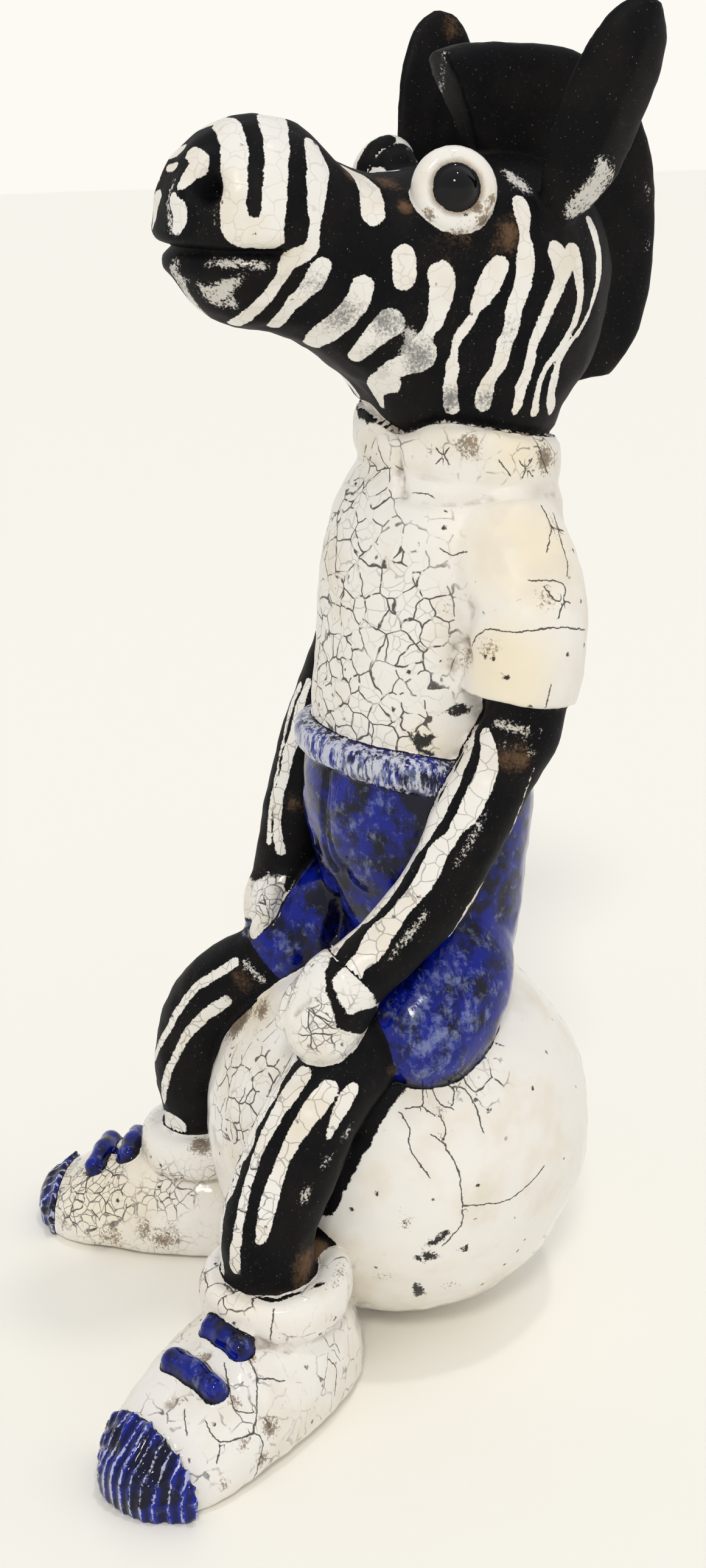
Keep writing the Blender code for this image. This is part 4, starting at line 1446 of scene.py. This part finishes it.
hidden = smoothstep(-body.place[:, 0], HIDDEN_FROM_X, HIDDEN_FULL_X)
net = np.max([patches(NET), NET_ON_CLAY_PARTS * of_form("shoe", "hand", "thumb", "cuff", "collar"),
              NET_ON_HIDDEN_SIDES * of_form("shirt", "ball", "sleeve_right") * hidden], 0)
others = {finish: np.min([away[o] for o in away if o != finish], 0) for finish in away}
fields = {
    "white_glaze": others["white"] - away["white"],
    "cobalt_glaze": others["blue"] - away["blue"],
    "eye_glaze": others["gloss"] - away["gloss"],
    "near_eye": away["gloss"],
    "stripe": stripe,
    "smear": smear,
    "bare": bare,
    "smudge_and_shade": smudge_and_shade,
    "crack_side": crack_side,
    "crack_gap": crack_gap,
    "brown": patches(BROWN),
    "smoke": patches(SMOKE),
    "net": net,
    "fine_net": of_form("hand", "thumb", "cuff_right", "shoe_right"),
    "warm": patches(WARM),
    "satin": of_form("shirt", "sleeve", "collar"),
    "frost": of_form("waistband"),
    "rib": comb_marks(body),
    "drip": inside(painted(DRIPS, ["ball"]), ["ball"], body),
    "deep": patches(DEEP),
    "pale": patches(PALE),
    "tan": patches(TAN),
    "limb": of_form("arm", "leg"),
    "overlap": OVERLAP + OVERLAP_ON_BALL * of_form("ball") * (away["blue"] > OVERLAP_FREE),
    "crease": body.hollow(CREASE_PASSES),
}
for name, values in fields.items():
    trimmed.attributes.new(name, "FLOAT", "POINT").data.foreach_set("value", values.astype(np.float32))
print("fields on the skin:", ", ".join(fields))

# %% [markdown]
# The shader is sums of patterns, so a small class lets them be written as sums. Every number in a pattern is
# in millimetres, which keeps the crackle, the grain and the brush edges at the size of the real ones.

# %% Sums of patterns
class Tone:
    """A value on its way through a material, for use in sums with numbers and with other values."""

    tree = None

    def __init__(self, socket):
        self.socket = socket

    @classmethod
    def node(cls, kind, output=0, settings=(), inputs=()):
        made = cls.tree.nodes.new("ShaderNode" + kind)
        for key, value in dict(settings).items():
            setattr(made, key, value)
        for key, value in dict(inputs).items():
            cls.plug(made.inputs[key], value)
        return cls(made.outputs[output])

    @classmethod
    def plug(cls, place, value):
        if isinstance(value, cls):
            cls.tree.links.new(value.socket, place)
        else:
            place.default_value = value

    @classmethod
    def sum(cls, operation, *values):
        wide = any(isinstance(v, cls) and v.socket.type != "VALUE" for v in values)
        kind = "VectorMath" if wide else "Math"
        return cls.node(kind, settings={"operation": operation}, inputs=dict(enumerate(values)))

    def __add__(self, other):
        return self.sum("ADD", self, other)

    __radd__ = __add__

    def __sub__(self, other):
        return self.sum("SUBTRACT", self, other)

    def __rsub__(self, other):
        return self.sum("SUBTRACT", other, self)

    def __mul__(self, other):
        if self.socket.type != "VALUE" and not isinstance(other, tuple):
            return self.node("VectorMath", settings={"operation": "SCALE"}, inputs={0: self, "Scale": other})
        return self.sum("MULTIPLY", self, other)

    __rmul__ = __mul__

    def most(self, other):
        return self.sum("MAXIMUM", self, other)

    def size(self):
        return self.sum("ABSOLUTE", self)

    def step(self, low, high):
        """0 below low and 1 above high, softly between them. Low may be the larger."""
        return self.node("MapRange", settings={"interpolation_type": "SMOOTHSTEP"},
                         inputs={"Value": self, "From Min": low, "From Max": high})

    def mix(self, without, with_it, share=1):
        """One colour where this is 0, and this share of another over it where this is 1."""
        first, second = ((*c, 1) if isinstance(c, tuple) else c for c in (without, with_it))
        factor = self if share == 1 else self * share
        return self.node("Mix", 2, {"data_type": "RGBA"}, {"Factor": factor, 6: first, 7: second})


def field(name):
    return Tone.node("Attribute", "Fac", {"attribute_name": name})


def grain(place, size, detail=2, roughness=0.5, output="Fac"):
    """Noise with features of this size in millimetres."""
    inputs = {"Vector": place, "Scale": 1 / size, "Detail": detail, "Roughness": roughness}
    return Tone.node("TexNoise", output, (), inputs)


def cells(place, size, feature):
    """Irregular cells of this size, as the distance in millimetres to their middle or their edge."""
    inputs = {"Vector": place, "Scale": 1 / size}
    return Tone.node("TexVoronoi", "Distance", {"feature": feature}, inputs) * size


print("patterns can be summed")

# %% [markdown]
# One material covers the figurine, as one firing did. Masks say where white glaze, cobalt and the eyes' black
# glaze lie on the bare clay. Their edges are frayed with noise, because a brush leaves ragged edges. A scuff
# is a stroke too, broken up by flecks, because the dry brush only touched the grain of the clay. The same
# mask lays a painted sheen on the chin.

# %% Where each glaze lies
figure = bpy.data.objects.new("zebra_raku", trimmed)
bpy.context.scene.collection.objects.link(figure)
trimmed.polygons.foreach_set("use_smooth", np.ones(len(trimmed.polygons), bool))
trimmed.transform(Matrix.Scale(MM, 4))
glaze = bpy.data.materials.new("raku_glaze")
glaze.use_nodes = True
trimmed.materials.append(glaze)
Tone.tree = glaze.node_tree
Tone.tree.nodes.clear()

BEND = 6
FRAY = 3
FINE_FRAY = 1.4
place = Tone.node("TexCoord", "Object") * (1 / MM)
drift = grain(place, size=9, output="Color") - (0.5, 0.5, 0.5)
bent = place + drift * BEND
fray = (grain(place, size=5, detail=3, roughness=0.6) - 0.5) * FRAY
fray = fray + (grain(place, size=0.9, roughness=0.6) - 0.5) * FINE_FRAY
mottle = grain(place, size=16, detail=4, roughness=0.6)
fleck = grain(place, size=1.1, detail=3, roughness=0.7)


def broken(value, flecks, mottles):
    """A value broken up by flecks and by mottling, so that what it paints has no clean edge."""
    return value + (fleck - 0.5) * flecks + (mottle - 0.5) * mottles


on_white_form = (field("white_glaze") - field("overlap") + fray * 0.6).step(-0.2, 0.2)
bare_again = (field("bare") + fray).step(-0.2, 0.3)
striped = (field("stripe") + fray * 0.75 + 0.2).step(-0.12, 0.2)
# scuffs, and a painted sheen on the chin, in white glaze broken by flecks
scuff_and_sheen = broken(field("smear").step(-2.5, 3) * 0.85, flecks=2, mottles=1.2).step(0.4, 0.68)
scuff_and_sheen = scuff_and_sheen * field("smear").step(-2.5, 0.5)
white = (on_white_form * (1 - bare_again)).most(striped).most(scuff_and_sheen * 0.75)
cobalt = (field("cobalt_glaze").most(field("drip")) + fray * 0.3).step(-0.15, 0.2)
eye = field("eye_glaze").step(-0.1, 0.1)
print("masks for white, cobalt and the eyes:", len(Tone.tree.nodes), "nodes")

# %% [markdown]
# Raku glaze crazes while it cools, and smoke then finds every crack. The net is the edges of irregular cells,
# bent by noise, broken off where the net is thin, with smaller cells inside the large ones. A texture of
# cracks would be quicker, but its lines would stretch over the curves and these don't.

# %% The net of cracks
CRACK_WIDTH = 0.22
WIDE_CELL = 9
STRIPE_CELL = 7
SMALL_CELL = 5
wide_net = cells(bent, WIDE_CELL, "DISTANCE_TO_EDGE")
small_net = cells(bent, SMALL_CELL, "DISTANCE_TO_EDGE")
stripe_net = cells(bent, STRIPE_CELL, "DISTANCE_TO_EDGE")


def lines(net, widest, darkest):
    """The thin dark lines along the edges of a net, in shares of the width of a crack."""
    return net.step(CRACK_WIDTH * widest, CRACK_WIDTH * darkest)


thinned = field("net") + (mottle - 0.5) * 1.1
torn = grain(place, size=5).step(0.4, 0.47)
wide_lines = lines(wide_net, 1.8, 0.7) * thinned.step(0.25, 0.6) * torn.most(thinned.step(0.7, 1.1))
small_lines = lines(small_net, 1.2, 0.4) * (thinned * field("fine_net")).step(0.2, 0.6)
on_stripes = striped * (0.2 + field("limb") * 0.45)
faint_lines = lines(stripe_net, 1.1, 0.4) * on_stripes.most((thinned - 0.1).step(0.3, 0.8) * 0.45)
wander = (grain(place, size=3, detail=3, roughness=0.6) - 0.5) * 2.2
long_lines = lines((field("crack_side") + wander).size(), 1.8, 0.7) * field("crack_gap").step(2.4, 1.6)
crack = wide_lines.most(small_lines * 0.8).most(faint_lines * 0.8).most(long_lines)
print("cells of", WIDE_CELL, STRIPE_CELL, "and", SMALL_CELL, "mm")

# %% [markdown]
# The white glaze is cream in warm places and dull in others. Over it lie smoke, brown stains, a painted shade
# with some dirt in the creases, the cracks, the pits where gas broke through, and soot with a painted shade
# in the armpit. They are mixed in that order, because each came after the last, and each is a mask times a
# colour matched to the photograph.

# %% White glaze
CREAM = (0.84, 0.815, 0.77)
WARM_CREAM = (0.85, 0.765, 0.60)
DULL_CREAM = (0.76, 0.70, 0.59)
SMOKE_GREY = (0.15, 0.15, 0.155)
BURNT_BROWN = (0.05, 0.032, 0.02)
TAN_BROWN = (0.24, 0.15, 0.07)
# the brown of the painted crease shade and of the stain round the eyes
SHADE_AND_STAIN_BROWN = (0.20, 0.12, 0.06)
CRACK_BLACK = (0.035, 0.03, 0.028)
PIT_BLACK = (0.05, 0.04, 0.035)
# the black of the soot and of the painted shade in the armpit
SOOT_AND_SHADE_BLACK = (0.02, 0.018, 0.016)
PIT_SPACING = 9

greyed = broken(field("smoke") * 0.8, flecks=1.6, mottles=1.2).step(0.2, 0.8) * field("smoke").step(0.08, 0.3)
tanned = broken(field("tan") * 0.9, flecks=2.2, mottles=1.6).step(0.45, 0.85) * field("tan").step(0.05, 0.3)
# a painted shade, with some dirt, in the creases, and a brown stain round each eye
crease_shade_and_stain = (field("crease") * 3).step(0.1, 0.6) * grain(place, size=7, detail=3, roughness=0.6).step(0.35, 0.7)
crease_shade_and_stain = crease_shade_and_stain.most((field("near_eye") + fray * 0.5).step(3.2, 0.6))
pit = (cells(place, PIT_SPACING, "F1") + (fleck - 0.5) * 2.6).step(1.0, 0.6) * mottle.step(0.45, 0.53)
# soot smudges, and the painted shade in the armpit hole
soot_and_shade = (field("smudge_and_shade") + (fleck - 0.5) * 4 + fray * 0.5).step(-0.3, 0.5)

cream = (field("warm") + (mottle - 0.5) * 0.6).step(0.1, 0.9).mix(CREAM, WARM_CREAM)
cream = grain(place, size=30, detail=3, roughness=0.6).step(0.42, 0.75).mix(cream, DULL_CREAM)
cream = greyed.mix(cream, SMOKE_GREY, share=0.85)
cream = tanned.mix(cream, fleck.step(0.4, 0.6).mix(BURNT_BROWN, TAN_BROWN), share=0.85)
cream = crease_shade_and_stain.mix(cream, SHADE_AND_STAIN_BROWN, share=0.75)
cream = crack.mix(cream, CRACK_BLACK, share=0.93)
cream = pit.mix(cream, PIT_BLACK)
cream = soot_and_shade.mix(cream, SOOT_AND_SHADE_BLACK)
print("the white glaze has cracks, pits, stains and soot")

# %% [markdown]
# Bare clay drank the smoke and is nearly black, a little bluish or brownish from place to place. Handling
# rubbed it brown at the edges, and a thin dust shows on it. A few pale specks are partly grains of grog and
# partly painted glints.

# %% Bare smoked clay
SMOKED_BLUE = (0.002, 0.0022, 0.0035)
SMOKED_BROWN = (0.008, 0.0065, 0.006)
RUBBED_BROWN = (0.13, 0.075, 0.04)
DUST_GREY = (0.07, 0.062, 0.058)
# the grey of grog grains and of painted glints
GROG_AND_GLINT_GREY = (0.4, 0.38, 0.36)

rubbed = broken(field("brown") * 0.9, flecks=0.9, mottles=1.6).step(0.35, 1)
dusty = grain(place * (1, 1, 0.5), size=1.6, detail=4, roughness=0.75).step(0.56, 0.8)
dusty = dusty * grain(place, size=26, detail=3, roughness=0.6).step(0.45, 0.65)
# pale specks: partly grains of grog, partly painted glints
grog_and_glint = grain(place, size=0.8, detail=1).step(0.72, 0.8)

smoked = grain(place, size=22, detail=4, roughness=0.6).step(0.35, 0.75).mix(SMOKED_BLUE, SMOKED_BROWN)
smoked = rubbed.mix(smoked, RUBBED_BROWN)
smoked = dusty.mix(smoked, DUST_GREY, share=0.5)
smoked = grog_and_glint.mix(smoked, GROG_AND_GLINT_GREY, share=0.35)
print("the bare clay is rubbed, dusty and grainy")

# %% [markdown]
# Cobalt glaze is deep where it lies thick and pale where it broke over an edge or frosted. Streaks run down
# it, because it flowed in the kiln. The furrows of the comb hold the deepest blue, and their crests are
# paler.
# Creases darken it as well: a painted shade, with the glaze lying thicker there.

# %% Cobalt glaze
DEEP_COBALT = (0.0008, 0.0012, 0.012)
CLEAR_COBALT = (0.003, 0.012, 0.27)
CLOUD_BLUE = (0.30, 0.36, 0.56)
FURROW_BLUE = (0.001, 0.0015, 0.02)
CREST_BLUE = (0.50, 0.53, 0.72)
FROST = (0.62, 0.63, 0.72)

streak = grain(place * (1, 1, 0.28), size=2.2, detail=3, roughness=0.7)
# creases darken the clouds and the clear blue: a painted shade, with the glaze lying thicker there
cloud = grain(bent, size=7, detail=5, roughness=0.75) + (streak - 0.5) * 0.35 - field("crease") * 0.35
cloud = cloud + field("frost") * 0.1 + field("pale") * 0.1 - 0.04
clear = grain(place, size=12, detail=4, roughness=0.65) + (streak - 0.5) * 0.15
clear = clear - field("deep") * 0.14 - field("crease") * 0.3
furrow = field("rib").step(0.3, -0.7)
crest_line = broken(field("rib"), flecks=1.4, mottles=1.6).step(0.62, 0.95)
frosted = (streak + field("frost") * 0.42).step(0.86, 1.0)

blue = clear.step(0.41, 0.62).mix(DEEP_COBALT, CLEAR_COBALT)
blue = cloud.step(0.53, 0.78).mix(blue, CLOUD_BLUE, share=0.6)
blue = furrow.mix(blue, FURROW_BLUE, share=0.75)
blue = crest_line.mix(blue, CREST_BLUE, share=0.85)
blue = frosted.mix(blue, FROST, share=0.85)
print("the cobalt has clouds, streaks, furrows and frost")

# %% [markdown]
# The glazes shine and the clay doesn't, so the finish is two surfaces mixed by one mask, and a third one for
# the wet black eyes. Cracks and pits are a bump only, because they are far finer than the mesh. Satin is the
# duller skin of the shirt's glaze.

# %% The raku finish
EYE_BLACK = (0.004, 0.004, 0.005)
WET_BLACK = (0.003, 0.003, 0.004, 1)
GLAZE_ROUGHNESS = 0.1
CLAY_ROUGHNESS = 0.55
WET_ROUGHNESS = 0.04
GLAZE_SHEEN = 0.3
CLAY_SHEEN = 0.1
WET_SHEEN = 0.25
BUMP_STRENGTH = 0.9

colour = white.mix(smoked, cream)
colour = cobalt.mix(colour, blue)
colour = eye.mix(colour, EYE_BLACK)
glazed = white.most(cobalt).most(eye)
roughness = GLAZE_ROUGHNESS + field("satin") * 0.28 + striped * 0.2 + (mottle - 0.5) * 0.1 - eye * 0.1
relief = glazed * 0.25 + fleck * 0.06 * (1 - glazed * 0.7) - crack * 0.12 - pit * 0.3 + mottle * 0.3
bump = Tone.node("Bump", 0, (), {"Strength": BUMP_STRENGTH, "Distance": MM, "Height": relief})


def coat(base, dullness, sheen, **more):
    """One kind of surface: its colour, its roughness and how much it mirrors."""
    inputs = {"Base Color": base, "Roughness": dullness, "Specular IOR Level": sheen, **more}
    return Tone.node("BsdfPrincipled", 0, (), inputs)


shiny = coat(colour, roughness, GLAZE_SHEEN, Normal=bump)
matt = coat(colour, CLAY_ROUGHNESS, CLAY_SHEEN, Normal=bump)
wet = coat(WET_BLACK, WET_ROUGHNESS, WET_SHEEN)
fired = Tone.node("MixShader", 0, (), {"Fac": glazed, 1: matt, 2: shiny})
fired = Tone.node("MixShader", 0, (), {"Fac": eye, 1: fired, 2: wet})
output = Tone.tree.nodes.new("ShaderNodeOutputMaterial")
Tone.plug(output.inputs["Surface"], fired)
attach(figure, "root")
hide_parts("zebra_figurine")
print("the figure is one piece:", figure.name, "with", len(Tone.tree.nodes), "nodes")

# %% [markdown]
# The figurine stands on a plain pale floor in a pale studio. A bright sky round it fills the shadows, a
# window to its front left shapes it, and a small light above puts the bright points on the wet glazes.

# %% Floor and light
FLOOR_HALF_SIDE = 6
PAPER_COLOUR = (0.97, 0.95, 0.88, 1)
PAPER_ROUGHNESS = 0.5
HORIZON_COLOUR = (1, 0.975, 0.915)
ZENITH_COLOUR = (0.70, 0.70, 0.71)
SKY_STRENGTH = 0.98
LAMP_COLOUR = (1, 0.97, 0.91)
# Each lamp: its name, its strength, how wide it looks in degrees, and the way to it
LAMPS = [
    ("window", 0.85, 9, (0.6, -0.35, 0.72)),
    ("ceiling_light", 0.35, 4, (0.1, 0.15, 1)),
]

corners = [(x * FLOOR_HALF_SIDE, y * FLOOR_HALF_SIDE, 0) for x, y in ((-1, -1), (1, -1), (1, 1), (-1, 1))]
floor_mesh = bpy.data.meshes.new("floor")
floor_mesh.from_pydata(corners, [], [(0, 1, 2, 3)])
floor = bpy.data.objects.new("floor", floor_mesh)
bpy.context.scene.collection.objects.link(floor)
paper = bpy.data.materials.new("pale_paper")
paper.use_nodes = True
paper_inputs = paper.node_tree.nodes["Principled BSDF"].inputs
paper_inputs["Base Color"].default_value = PAPER_COLOUR
paper_inputs["Roughness"].default_value = PAPER_ROUGHNESS
floor_mesh.materials.append(paper)

bpy.context.scene.view_settings.view_transform = "Standard"
world = bpy.data.worlds.new("studio")
world.use_nodes = True
Tone.tree = world.node_tree
height = Tone.node("SeparateXYZ", "Z", (), {"Vector": Tone.node("TexCoord", "Generated")})
sky_inputs = world.node_tree.nodes["Background"].inputs
Tone.plug(sky_inputs["Color"], height.step(0.03, 0.35).mix(HORIZON_COLOUR, ZENITH_COLOUR))
sky_inputs["Strength"].default_value = SKY_STRENGTH
bpy.context.scene.world = world

for name, energy, angle, direction in LAMPS:
    lamp = bpy.data.lights.new(name, "SUN")
    lamp.energy = energy
    lamp.angle = math.radians(angle)
    lamp.color = LAMP_COLOUR
    holder = bpy.data.objects.new(name, lamp)
    holder.rotation_euler = Vector(direction).to_track_quat("Z", "Y").to_euler()
    bpy.context.scene.collection.objects.link(holder)
print("a soft window to the front left and a small light above")
